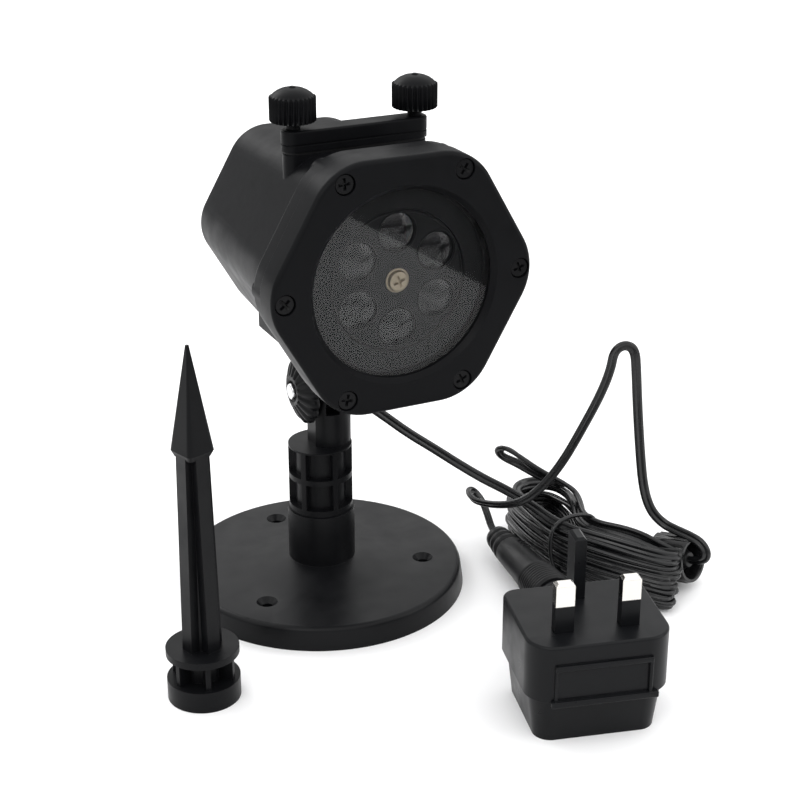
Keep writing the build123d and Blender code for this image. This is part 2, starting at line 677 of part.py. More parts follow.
# ================================================================ hinge lug under the housing
with BuildPart() as hinge_lug:
    plate_z = KEEL_BOTTOM_Z - LUG_PLATE_THICKNESS
    with BuildSketch(Plane.XY.offset(plate_z)):
        RectangleRounded(LUG_PLATE_WIDTH, LUG_PLATE_LENGTH, 3.0)
        with Locations((GLAND_X, GLAND_Y)):
            Circle(GLAND_RADIUS + FIT, mode=Mode.SUBTRACT)
    extrude(amount=LUG_PLATE_THICKNESS)
    lug_width = SLOT_WIDTH - 2 * FIT
    with BuildSketch(Plane.YZ.offset(SLOT_CENTRE - lug_width / 2)):
        with BuildLine():
            low = (-LUG_RADIUS, HINGE_Z)
            high = (-LUG_RADIUS - 2, plate_z + 1)
            Polyline(low, high, (-high[0], high[1]), (-low[0], low[1]))
            ThreePointArc((-low[0], low[1]), (0, HINGE_Z - LUG_RADIUS), low)
        make_face()
        with Locations((0, HINGE_Z)):
            Circle(BOLT_RADIUS + RUNNING_CLEARANCE, mode=Mode.SUBTRACT)
    extrude(amount=lug_width)
    with Locations(Plane(origin=(0, 0, plate_z), x_dir=(1, 0, 0), z_dir=(0, 0, -1))):
        with GridLocations(LUG_SCREW_SPACING_X, LUG_SCREW_SPACING_Y, 2, 2):
            Hole(LUG_SCREW_RADIUS + RUNNING_CLEARANCE, depth=LUG_PLATE_THICKNESS)
save(hinge_lug.part, "hinge_lug")

with BuildPart() as lug_screws:
    with BuildSketch(Plane.XY.offset(plate_z)):
        with GridLocations(LUG_SCREW_SPACING_X, LUG_SCREW_SPACING_Y, 2, 2):
            Circle(LUG_SCREW_RADIUS)
    extrude(amount=LUG_PLATE_THICKNESS + SHELL_WALL)
    with BuildSketch(Plane.XY.offset(plate_z - 1.4)):
        with GridLocations(LUG_SCREW_SPACING_X, LUG_SCREW_SPACING_Y, 2, 2):
            Circle(LUG_SCREW_RADIUS * 1.8)
    extrude(amount=1.4)
save(lug_screws.part, "lug_screws")

gland_top = KEEL_BOTTOM_Z
with BuildPart() as cord_gland:
    with BuildSketch(Plane.XY.offset(gland_top - GLAND_LENGTH)):
        with Locations((GLAND_X, GLAND_Y)):
            Circle(GLAND_TIP_RADIUS)
    with BuildSketch(Plane.XY.offset(gland_top)):
        with Locations((GLAND_X, GLAND_Y)):
            Circle(GLAND_RADIUS)
    loft()
    with BuildSketch(Plane.XY.offset(gland_top)):
        with Locations((GLAND_X, GLAND_Y)):
            Circle(GLAND_SPIGOT_RADIUS)
    extrude(amount=SHELL_WALL)
save(cord_gland.part, "cord_gland")

# ================================================================ cover, gasket and pattern slide
with BuildPart() as slide_cover:
    with BuildSketch(Plane.XY.offset(COVER_TOP_Z - COVER_THICKNESS)):
        with Locations((0, POCKET_Y)):
            SlotOverall(POCKET_LENGTH + 0.8, POCKET_WIDTH + 0.8)
    extrude(amount=COVER_THICKNESS)
    fillet(slide_cover.faces().sort_by(Axis.Z)[-1].edges(), radius=0.8)
    with BuildSketch(Plane.XY.offset(COVER_TOP_Z - COVER_THICKNESS / 2 - 1.5)):
        with Locations((0, POCKET_Y)):
            SlotOverall(POCKET_LENGTH + 2, POCKET_WIDTH + 2)
            SlotOverall(POCKET_LENGTH, POCKET_WIDTH, mode=Mode.SUBTRACT)
    extrude(amount=0.6, mode=Mode.SUBTRACT)
    with Locations((0, POCKET_Y, COVER_TOP_Z)):
        with GridLocations(THUMB_SPACING, 1, 2, 1):
            Hole(THUMB_SHANK_RADIUS + RUNNING_CLEARANCE, depth=COVER_THICKNESS)
save(slide_cover.part, "slide_cover")

with BuildPart() as slot_gasket:
    with BuildSketch(Plane.XY.offset(POCKET_TOP_Z)):
        with Locations((0, POCKET_Y)):
            SlotOverall(POCKET_LENGTH - GASKET_INSET, POCKET_WIDTH - GASKET_INSET)
            Rectangle(SLIDE_WIDTH + 2 * SLIDE_GAP, SLIDE_THICKNESS + 2 * SLIDE_GAP, mode=Mode.SUBTRACT)
            with GridLocations(THUMB_SPACING, 1, 2, 1):
                Circle(THUMB_SHANK_RADIUS + RUNNING_CLEARANCE, mode=Mode.SUBTRACT)
    extrude(amount=GASKET_THICKNESS)
save(slot_gasket.part, "slot_gasket")

SLIDE_TOP_Z = POCKET_TOP_Z + GASKET_THICKNESS
SLIDE_BOTTOM_Z = SLIDE_TOP_Z - SLIDE_LENGTH
slide_front = POCKET_DEPTH - SLIDE_THICKNESS / 2
with BuildPart() as pattern_slide:
    with BuildSketch(Plane.XZ.offset(-(HEAD_FRONT_Y + slide_front))):
        with Locations((0, (SLIDE_TOP_Z + SLIDE_BOTTOM_Z) / 2)):
            Rectangle(SLIDE_WIDTH, SLIDE_LENGTH)
        with Locations((0, HEAD_AXIS_Z)):
            Circle(FILM_RADIUS, mode=Mode.SUBTRACT)
    extrude(amount=-SLIDE_THICKNESS)
save(pattern_slide.part, "pattern_slide")

with BuildPart() as pattern_film:
    with BuildSketch(head_plane(POCKET_DEPTH - FILM_THICKNESS / 2)):
        Circle(FILM_RADIUS)
    extrude(amount=-FILM_THICKNESS)
save(pattern_film.part, "pattern_film")

with BuildPart() as slide_guide:
    guide_top = HEAD_AXIS_Z + SHELL_REAR_APOTHEM - SHELL_WALL - 1
    guide_bottom = SLIDE_BOTTOM_Z - 1.5
    slot_depth = SLIDE_THICKNESS + 2 * SLIDE_GAP
    with BuildSketch(Plane.XY.offset(guide_bottom - GUIDE_WALL)):
        with Locations((0, POCKET_Y)):
            Rectangle(SLIDE_WIDTH + 2 * GUIDE_WALL + 2 * SLIDE_GAP, slot_depth + 2 * GUIDE_WALL)
    extrude(amount=guide_top - guide_bottom + GUIDE_WALL)
    with BuildSketch(Plane.XY.offset(guide_bottom)):
        with Locations((0, POCKET_Y)):
            Rectangle(SLIDE_WIDTH + 2 * SLIDE_GAP, slot_depth)
    extrude(amount=guide_top - guide_bottom, mode=Mode.SUBTRACT)
    with BuildSketch(head_plane(GUIDE_DEPTH - 1)):
        Circle(FILM_RADIUS - 0.5)
    extrude(amount=-(slot_depth + 2 * GUIDE_WALL + 2), mode=Mode.SUBTRACT)
save(slide_guide.part, "slide_guide")

for side, x in (("left", -THUMB_SPACING / 2), ("right", THUMB_SPACING / 2)):
    with BuildPart() as thumb:
        with BuildSketch(Plane.XY.offset(COVER_TOP_Z)):
            with Locations((x, POCKET_Y)):
                Circle(THUMB_NECK_RADIUS)
        extrude(amount=THUMB_NECK)
        with BuildSketch(Plane.XY.offset(COVER_TOP_Z + THUMB_NECK)):
            with Locations((x, POCKET_Y)):
                Circle(THUMB_RADIUS)
                with PolarLocations(THUMB_RADIUS, THUMB_FLUTES):
                    Circle(THUMB_FLUTE_RADIUS, mode=Mode.SUBTRACT)
        extrude(amount=THUMB_HEIGHT)
        dome_z = COVER_TOP_Z + THUMB_NECK + THUMB_HEIGHT
        dome_foot = THUMB_RADIUS - 2 * THUMB_FLUTE_RADIUS
        with BuildSketch(Plane(origin=(x, POCKET_Y, dome_z), x_dir=(1, 0, 0), z_dir=(0, -1, 0))):
            with BuildLine():
                cap_arc(dome_foot, THUMB_DOME)
                Polyline((0, THUMB_DOME), (0, 0), (dome_foot, 0))
            make_face()
        revolve(axis=Axis((x, POCKET_Y, 0), (0, 0, 1)))
        with BuildSketch(Plane.XY.offset(COVER_TOP_Z - THUMB_SHANK + 0.5)):
            with Locations((x, POCKET_Y)):
                Circle(THUMB_SHANK_RADIUS)
        extrude(amount=THUMB_SHANK)
    save(thumb.part, f"{side}_thumb_screw")

# ================================================================ lens wheel and its drive
WHEEL_BACK = WHEEL_DEPTH + WHEEL_THICKNESS
lens_seat = WHEEL_DEPTH + WHEEL_THICKNESS - LENS_SEAT
with BuildPart() as lens_wheel:
    with BuildSketch(head_plane(WHEEL_DEPTH)):
        Circle(WHEEL_RADIUS)
        with PolarLocations(LENS_CIRCLE, LENS_COUNT, start_angle=30):
            Circle(LENS_SEAT_RADIUS, mode=Mode.SUBTRACT)
        Circle(HUB_SCREW_RADIUS, mode=Mode.SUBTRACT)
    extrude(amount=-WHEEL_THICKNESS)
    with BuildSketch(head_plane(WHEEL_DEPTH)):
        with PolarLocations(LENS_CIRCLE, LENS_COUNT, start_angle=30):
            Circle(LENS_RADIUS + RUNNING_CLEARANCE)
    extrude(amount=-(WHEEL_THICKNESS - LENS_SEAT), mode=Mode.SUBTRACT)
save(lens_wheel.part, "lens_wheel")

with BuildPart() as wheel_lenses:
    for k in range(LENS_COUNT):
        lens_x, lens_z = polar(LENS_CIRCLE, 30 + k * 360 / LENS_COUNT)
        origin = (lens_x, HEAD_FRONT_Y + lens_seat - LENS_EDGE, HEAD_AXIS_Z + lens_z)
        with BuildSketch(Plane(origin=origin, x_dir=(1, 0, 0), z_dir=(0, 0, -1))):
            with BuildLine():
                cap_arc(LENS_RADIUS, LENS_DOME)
                Polyline((0, LENS_DOME), (0, -LENS_EDGE), (LENS_RADIUS, -LENS_EDGE), (LENS_RADIUS, 0))
            make_face()
        revolve(axis=Axis(origin, (0, 1, 0)))
save(wheel_lenses.part, "wheel_lenses")

with BuildPart() as wheel_screw:
    with BuildSketch(head_plane(WHEEL_DEPTH)):
        Circle(HUB_SCREW_HEAD_RADIUS)
    extrude(amount=HUB_SCREW_HEAD_THICKNESS)
    fillet(wheel_screw.faces().sort_by(Axis.Y)[0].edges(), radius=0.5)
    with BuildSketch(head_plane(WHEEL_DEPTH)):
        Circle(HUB_SCREW_RADIUS)
    extrude(amount=-(WHEEL_THICKNESS + 0.6))
    with BuildSketch(head_plane(WHEEL_DEPTH - HUB_SCREW_HEAD_THICKNESS)):
        Rectangle(CROSS_LENGTH, CROSS_WIDTH)
        Rectangle(CROSS_WIDTH, CROSS_LENGTH)
    extrude(amount=-CROSS_DEPTH, mode=Mode.SUBTRACT)
save(wheel_screw.part, "wheel_screw")

with BuildPart() as wheel_motor:
    with BuildSketch(head_plane(MOTOR_DEPTH)):
        Circle(MOTOR_RADIUS)
    extrude(amount=-MOTOR_LENGTH)
    with BuildSketch(head_plane(WHEEL_BACK + 0.1)):
        Circle(MOTOR_SHAFT_RADIUS)
        Circle(HUB_SCREW_RADIUS + RUNNING_CLEARANCE, mode=Mode.SUBTRACT)
    extrude(amount=-(MOTOR_DEPTH - WHEEL_BACK - 0.1))
save(wheel_motor.part, "wheel_motor")

bracket_depth = SHELL_START + 2 * FIT
bracket_apothem = shell_apothem(bracket_depth + BRACKET_THICKNESS) - SHELL_WALL - FIT
with BuildPart() as motor_bracket:
    with BuildSketch(head_plane(bracket_depth)) as outline:
        hexagon(outline, bracket_apothem, inner_corner)
        Circle(bracket_apothem - BRACKET_RING_WIDTH, mode=Mode.SUBTRACT)
        Circle(MOTOR_RADIUS + 2.4)
        with PolarLocations(bracket_apothem / 2, BRACKET_ARMS, start_angle=90):
            Rectangle(bracket_apothem - 2, BRACKET_ARM_WIDTH)
        Circle(MOTOR_RADIUS + RUNNING_CLEARANCE, mode=Mode.SUBTRACT)
    extrude(amount=-BRACKET_THICKNESS)
save(motor_bracket.part, "motor_bracket")

with BuildPart() as condenser_lenses:
    with BuildSketch(head_plane(CONDENSER_DEPTH + CONDENSER_THICKNESS)):
        with PolarLocations(LED_CIRCLE, LED_COUNT, start_angle=45):
            Circle(CONDENSER_RADIUS)
    extrude(amount=CONDENSER_THICKNESS, taper=20)
save(condenser_lenses.part, "condenser_lenses")

with BuildPart() as lens_carrier:
    carrier_apothem = shell_apothem(LED_BOARD_DEPTH) - SHELL_WALL - FIT
    with BuildSketch(head_plane(CONDENSER_DEPTH + CONDENSER_THICKNESS)) as outline:
        hexagon(outline, carrier_apothem, inner_corner)
        with PolarLocations(LED_CIRCLE, LED_COUNT, start_angle=45):
            Circle(LED_SIDE, mode=Mode.SUBTRACT)
    extrude(amount=-(LED_BOARD_DEPTH - LED_THICKNESS / 2 - CONDENSER_DEPTH - CONDENSER_THICKNESS))
save(lens_carrier.part, "lens_carrier")

with BuildPart() as led_emitters:
    with BuildSketch(head_plane(LED_BOARD_DEPTH)):
        with PolarLocations(LED_CIRCLE, LED_COUNT, start_angle=45, rotate=False):
            Rectangle(LED_SIDE, LED_SIDE)
    extrude(amount=LED_THICKNESS)
save(led_emitters.part, "led_emitters")

with BuildPart() as led_board:
    with BuildSketch(head_plane(LED_BOARD_DEPTH)):
        Circle(LED_BOARD_RADIUS)
    extrude(amount=-BOARD_THICKNESS)
save(led_board.part, "led_board")

sink_start = LED_BOARD_DEPTH + BOARD_THICKNESS
with BuildPart() as heat_sink:
    with BuildSketch(head_plane(sink_start)):
        Rectangle(SINK_SIDE, SINK_SIDE)
    extrude(amount=-SINK_BASE)
    with BuildSketch(head_plane(sink_start + SINK_BASE)):
        with GridLocations((SINK_SIDE - SINK_FIN_THICKNESS) / (SINK_FINS - 1), 1, SINK_FINS, 1):
            Rectangle(SINK_FIN_THICKNESS, SINK_SIDE)
    extrude(amount=-(SINK_DEPTH - SINK_BASE))
save(heat_sink.part, "heat_sink")

with BuildPart() as driver_board:
    with BuildSketch(head_plane(DRIVER_DEPTH)):
        Rectangle(DRIVER_WIDTH, DRIVER_HEIGHT)
    extrude(amount=-BOARD_THICKNESS)
    with BuildSketch(head_plane(DRIVER_DEPTH + BOARD_THICKNESS)):
        with Locations((-12, 8)):
            Rectangle(12, 9)
        with Locations((10, 9), (17, 0)):
            Circle(4)
        with Locations((-10, -9)):
            Rectangle(8, 8)
    extrude(amount=-7)
save(driver_board.part, "driver_board")

# ================================================================ ground stake
with BuildPart() as stake:
    ring_top = STAKE_RING_HEIGHT
    flange_z = STAKE_RING_HEIGHT + STAKE_CAGE_HEIGHT
    shaft_z = flange_z + STAKE_FLANGE
    turned = Plane(origin=(STAKE_X, STAKE_Y, 0)).rotated((0, 0, STAKE_TURN))
    with BuildSketch(turned):
        Circle(STAKE_RING_RADIUS)
    extrude(amount=ring_top)
    with BuildSketch(turned.offset(ring_top)):
        Circle(STAKE_COLUMN_RADIUS)
        with PolarLocations(STAKE_RIB_RADIUS / 2, STAKE_RIBS):
            Rectangle(STAKE_RIB_RADIUS, STAKE_RIB_WIDTH)
    extrude(amount=STAKE_CAGE_HEIGHT)
    with BuildSketch(turned.offset(flange_z)):
        Circle(STAKE_RING_RADIUS)
    extrude(amount=STAKE_FLANGE)
    foot, neck = STAKE_FOOT_WIDTH / 2, STAKE_NECK_WIDTH / 2
    shoulder_z = STAKE_SHAFT_TOP + STAKE_SHOULDER
    for turn in (0, 90):
        blade = turned.rotated((0, 0, turn))
        side_plane = Plane(origin=blade.origin, x_dir=blade.x_dir, z_dir=-blade.y_dir)
        with BuildSketch(side_plane):
            with BuildLine():
                Polyline(
                    (-foot, shaft_z),
                    (foot, shaft_z),
                    (neck, shoulder_z),
                    (-neck, shoulder_z),
                    close=True,
                )
            make_face()
        extrude(amount=STAKE_WEB / 2, both=True)
    with BuildSketch(turned.offset(shaft_z).rotated((0, 0, 45))):
        Rectangle(STAKE_FOOT_WIDTH * STAKE_CORE, STAKE_FOOT_WIDTH * STAKE_CORE)
    with BuildSketch(turned.offset(shoulder_z).rotated((0, 0, 45))):
        Rectangle(STAKE_NECK_WIDTH * STAKE_CORE, STAKE_NECK_WIDTH * STAKE_CORE)
    loft()
    with BuildSketch(turned.offset(STAKE_SHAFT_TOP)):
        barb = STAKE_ARROW_WIDTH - STAKE_UNDERCUT
        RectangleRounded(barb, barb, STAKE_ARROW_CORNER)
    with BuildSketch(turned.offset(shoulder_z)):
        RectangleRounded(STAKE_ARROW_WIDTH, STAKE_ARROW_WIDTH, STAKE_ARROW_CORNER)
    loft()
    with BuildSketch(turned.offset(shoulder_z)):
        RectangleRounded(STAKE_ARROW_WIDTH, STAKE_ARROW_WIDTH, STAKE_ARROW_CORNER)
    with BuildSketch(turned.offset(STAKE_HEIGHT)):
        RectangleRounded(STAKE_TIP_WIDTH, STAKE_TIP_WIDTH, STAKE_TIP_WIDTH / 4)
    loft()
    with BuildSketch(turned):
        Circle(SOCKET_RADIUS)
    extrude(amount=ring_top - STAKE_ROOF, mode=Mode.SUBTRACT)
save(stake.part, "stake")

# ================================================================ mains adapter
adapter = Plane(origin=(PLUG_TOP_X, PLUG_TOP_Y, 0)).rotated((0, 0, PLUG_TOP_TURN))
case_mid = (CASE_FRONT + CASE_BACK) / 2
case_length = CASE_BACK - CASE_FRONT


def case_outline(outline, inset):
    """Adds the adapter's plan outline, rounder at its front corners, to the open sketch."""
    with Locations((0, case_mid)):
        Rectangle(2 * (CASE_HALF_WIDTH - inset), case_length - 2 * inset)
    fillet(outline.vertices().group_by(Axis.Y)[0], radius=CASE_CORNER - inset)
    fillet(outline.vertices().group_by(Axis.Y)[-1], radius=CASE_BACK_CORNER - inset / 2)


with BuildPart() as adapter_top_case:
    with BuildSketch(adapter.offset(CASE_SPLIT_Z)) as outline:
        case_outline(outline, 0)
    extrude(amount=CASE_TOP_Z - CASE_SPLIT_Z)
    fillet(adapter_top_case.faces().sort_by(Axis.Z)[-1].edges(), radius=1.0)
    with BuildSketch(adapter.offset(CASE_SPLIT_Z)) as outline:
        case_outline(outline, CASE_WALL)
    extrude(amount=CASE_TOP_Z - CASE_SPLIT_Z - CASE_WALL, mode=Mode.SUBTRACT)
    front_point = adapter.from_local_coords((0, CASE_FRONT, 0))
    front_face = Plane(origin=front_point, x_dir=adapter.x_dir, z_dir=-adapter.y_dir)
    panel_high = CASE_TOP_Z - PANEL_DROP
    panel_height = panel_high - CASE_SPLIT_Z
    with BuildSketch(front_face.offset(-CASE_WALL / 2)):
        with Locations((0, (CASE_SPLIT_Z + panel_high) / 2)):
            Rectangle(PANEL_WIDTH, panel_height)
            Rectangle(PANEL_WIDTH - 2 * PANEL_RIB, panel_height - 2 * PANEL_RIB, mode=Mode.SUBTRACT)
    extrude(amount=CASE_WALL / 2 + PANEL_PROUD)
    with BuildSketch(adapter.offset(CASE_TOP_Z)):
        with GridLocations(PIN_SPACING, 1, 2, 1):
            Rectangle(PIN_WIDTH + 2 * FIT, PIN_THICKNESS + 2 * FIT)
        with Locations((0, EARTH_OFFSET)):
            Rectangle(EARTH_WIDTH + 2 * FIT, EARTH_THICKNESS + 2 * FIT)
    extrude(amount=-(CASE_WALL + 1), mode=Mode.SUBTRACT)
save(adapter_top_case.part, "adapter_top_case")

with BuildPart() as adapter_lower_case:
    with BuildSketch(adapter.offset(CASE_SPLIT_Z)) as outline:
        case_outline(outline, LOWER_INSET)
    extrude(amount=-CASE_SPLIT_Z, taper=LOWER_TAPER)
    with BuildSketch(adapter.offset(CASE_SPLIT_Z)) as outline:
        case_outline(outline, LOWER_INSET + CASE_WALL)
    extrude(amount=-(CASE_SPLIT_Z - CASE_WALL), taper=LOWER_TAPER, mode=Mode.SUBTRACT)
save(adapter_lower_case.part, "adapter_lower_case")

sleeved_width = PIN_WIDTH - 2 * PIN_SLEEVE_WALL
sleeved_thickness = PIN_THICKNESS - 2 * PIN_SLEEVE_WALL
with BuildPart() as mains_pins:
    with BuildSketch(adapter.offset(CASE_TOP_Z - CASE_WALL - PIN_ROOT)):
        with GridLocations(PIN_SPACING, 1, 2, 1):
            Rectangle(sleeved_width, sleeved_thickness)
    extrude(amount=CASE_WALL + PIN_ROOT + PIN_SLEEVE)
    with BuildSketch(adapter.offset(CASE_TOP_Z + PIN_SLEEVE)):
        with GridLocations(PIN_SPACING, 1, 2, 1):
            Rectangle(PIN_WIDTH, PIN_THICKNESS)
    extrude(amount=PIN_LENGTH - PIN_SLEEVE)
    tip_edges = mains_pins.edges().filter_by(lambda e: e.center().Z > CASE_TOP_Z + PIN_LENGTH - 0.01)
    chamfer(tip_edges, length=PIN_CHAMFER)
save(mains_pins.part, "mains_pins")

with BuildPart() as pin_sleeves:
    with BuildSketch(adapter.offset(CASE_TOP_Z - CASE_WALL)):
        with GridLocations(PIN_SPACING, 1, 2, 1):
            Rectangle(PIN_WIDTH, PIN_THICKNESS)
            Rectangle(sleeved_width, sleeved_thickness, mode=Mode.SUBTRACT)
    extrude(amount=CASE_WALL + PIN_SLEEVE)
save(pin_sleeves.part, "pin_sleeves")

with BuildPart() as earth_pin:
    with BuildSketch(adapter.offset(CASE_TOP_Z - CASE_WALL - PIN_ROOT)):
        with Locations((0, EARTH_OFFSET)):
            Rectangle(EARTH_WIDTH, EARTH_THICKNESS)
    extrude(amount=CASE_WALL + PIN_ROOT + EARTH_LENGTH)
    chamfer(earth_pin.faces().sort_by(Axis.Z)[-1].edges(), length=PIN_CHAMFER)
save(earth_pin.part, "earth_pin")

with BuildPart() as adapter_circuit:
    with BuildSketch(adapter.offset(CASE_SPLIT_Z - CIRCUIT_DROP)):
        with Locations((0, case_mid)):
            Rectangle(2 * CASE_HALF_WIDTH - CIRCUIT_MARGIN, case_length - CIRCUIT_MARGIN)
    extrude(amount=BOARD_THICKNESS)
    with BuildSketch(adapter.offset(CASE_SPLIT_Z - CIRCUIT_DROP + BOARD_THICKNESS)):
        with Locations((-7, case_mid - 3)):
            Rectangle(14, 13)
        with Locations((9, case_mid + 6)):
            Circle(4)
    extrude(amount=CIRCUIT_PARTS_HEIGHT)
save(adapter_circuit.part, "adapter_circuit")

# ================================================================ output stub and link connector
nut_end = Vector(CONNECTOR_NUT_X, CONNECTOR_NUT_Y, CONNECTOR_Z)
boot_end = Vector(CONNECTOR_BOOT_X, CONNECTOR_BOOT_Y, CONNECTOR_Z)
along = (boot_end - nut_end).normalized()
connector = Plane(origin=nut_end, z_dir=along)
ribbed_nut(connector, NUT_LENGTH, "link_nut")
half_nut = NUT_LENGTH / 2
stub_point = adapter.from_local_coords((STUB_X, CASE_BACK - LOWER_INSET, CONNECTOR_Z))
stub_length = (nut_end - Vector(*stub_point)).dot(along) - 2 * FIT
revolved_body(
    connector,
    [
        (-stub_length, 4.6),
        (-stub_length + 3, 4.9),
        (-half_nut - 3, 6.9),
        (-half_nut, 7.2),
        (-half_nut, 5.4),
        (-1, 5.4),
    ],
    "output_stub",
)
boot_length = (boot_end - nut_end).length
boot_rings = []
for k in range(3):
    ring_at = boot_length - 6.0 + k * 3.2
    boot_rings.append((ring_at, BOOT_RADIUS - 0.8))
    boot_rings.append((ring_at + 0.2, BOOT_RADIUS))
    boot_rings.append((ring_at + 1.6, BOOT_RADIUS - 0.2 - 0.4 * k))
revolved_body(
    connector,
    [
        (-0.8, BODY_RADIUS),
        (half_nut, BODY_RADIUS),
        (half_nut, BODY_RADIUS + 0.7),
        (half_nut + 3, BODY_RADIUS),
        (boot_length - 7, BODY_RADIUS - 0.3),
    ]
    + boot_rings
    + [(boot_length + 4.6, BOOT_TIP_RADIUS - 0.6), (boot_length + 5.8, BOOT_TIP_RADIUS - 1.0)],
    "link_connector",
)

# ================================================================ coupling between the two leads
rise = math.radians(COUPLING_RISE)
turn_x, turn_y = polar(math.cos(rise), COUPLING_TURN)
coupling = Plane(
    origin=(COUPLING_X, COUPLING_Y, COUPLING_Z),
    z_dir=(turn_x, turn_y, math.sin(rise)),
)
ribbed_nut(coupling, COUPLING_LENGTH, "coupling_nut")
half_coupling = COUPLING_LENGTH / 2
insert_radius = NUT_BORE_RADIUS - 2 * FIT
revolved_body(
    coupling,
    [
        (-1, insert_radius),
        (half_coupling - 5, insert_radius),
        (half_coupling - 4, 4.0),
        (half_coupling - 1.2, 3.0),
    ],
    "link_plug",
)
revolved_body(
    coupling,
    [
        (-half_coupling - 9, 2.2),
        (-half_coupling - 8, 3.0),
        (-half_coupling - 1, 4.6),
        (-half_coupling - 1, insert_radius),
        (-1.2, insert_radius),
    ],
    "lamp_socket",
)

# ================================================================ leads, hank and tie
save(lead_tube(LAMP_ROUTE, "lamp_lead"), "lamp_lead")
save(lead_tube(LINK_ROUTE, "link_lead"), "link_lead")
save(lead_tube(TAIL_ROUTE, "lamp_tail"), "lamp_tail")

HANK_CIRCLES = [((92.5, -5.0), 13.0), ((89.0, -38.0), 8.6), ((100.5, -70.0), 11.0)]
with BuildPart() as lead_hank:
    for (near, near_radius), (far, far_radius) in zip(HANK_CIRCLES, HANK_CIRCLES[1:]):
        with BuildSketch(Plane.XY.offset(HANK_FLOOR)):
            with Locations(near):
                Circle(near_radius)
            with Locations(far):
                Circle(far_radius)
            make_hull()
        extrude(amount=HANK_HEIGHT)
save(lead_hank.part, "lead_hank")

(tie_x, tie_y), waist = HANK_CIRCLES[1]
tie_top = HANK_FLOOR + HANK_HEIGHT + TIE_THICKNESS
with BuildPart() as hank_tie:
    with BuildSketch(Plane.XZ.offset(-tie_y - TIE_WIDTH / 2)):
        with Locations((tie_x + TIE_SHIFT, tie_top / 2)):
            Rectangle(2 * (waist + TIE_SHIFT + TIE_THICKNESS), tie_top)
    extrude(amount=TIE_WIDTH)
    add(lead_hank.part, mode=Mode.SUBTRACT)
save(hank_tie.part, "hank_tie")
print("done")
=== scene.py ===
"""Looks of a six-lens pattern projector kit: lamp on its stand, ground stake, adapter and leads.

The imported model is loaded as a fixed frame. Cords, connectors, screws and knobs get finer pieces
of their own, and every node gets a procedural finish. Lengths in the size fields are millimetres
unless a name says otherwise; Blender works in metres.
"""
import logging
import math
from dataclasses import dataclass, field
from enum import Enum

import bmesh
import bpy
from mathutils import Matrix, Vector


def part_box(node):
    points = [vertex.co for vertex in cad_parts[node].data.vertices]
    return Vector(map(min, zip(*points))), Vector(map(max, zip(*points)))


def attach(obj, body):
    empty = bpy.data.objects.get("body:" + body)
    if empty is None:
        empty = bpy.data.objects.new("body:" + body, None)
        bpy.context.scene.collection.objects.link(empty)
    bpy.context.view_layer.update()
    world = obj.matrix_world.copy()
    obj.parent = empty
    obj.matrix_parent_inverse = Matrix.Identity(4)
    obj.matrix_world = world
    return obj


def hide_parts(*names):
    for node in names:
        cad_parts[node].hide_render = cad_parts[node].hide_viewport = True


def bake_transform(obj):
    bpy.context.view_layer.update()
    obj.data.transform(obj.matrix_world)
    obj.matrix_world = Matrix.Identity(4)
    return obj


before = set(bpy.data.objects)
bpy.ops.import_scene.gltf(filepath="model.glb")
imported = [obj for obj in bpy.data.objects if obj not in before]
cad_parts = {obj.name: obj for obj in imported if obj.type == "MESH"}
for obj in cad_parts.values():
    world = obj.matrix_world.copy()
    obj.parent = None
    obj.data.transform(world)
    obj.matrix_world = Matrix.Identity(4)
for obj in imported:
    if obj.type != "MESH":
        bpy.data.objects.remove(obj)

logging.basicConfig(level=logging.INFO, format="%(message)s")
LOG = logging.getLogger("lamp_kit")
MM = 0.001
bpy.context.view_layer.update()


class Slot(Enum):
    """Material slot names of the record; the screw sets keep one, but nothing in the script reads it."""

    HOUSING = "housing_plastic"
    STAND = "stand_plastic"
    ADAPTER = "adapter_plastic"
    CONNECTOR = "connector_plastic"
    JACKET = "cord_jacket"
    BRIGHT_STEEL = "bright_steel"
    BLACK_STEEL = "black_steel"
    INNER = "inner_plastic"


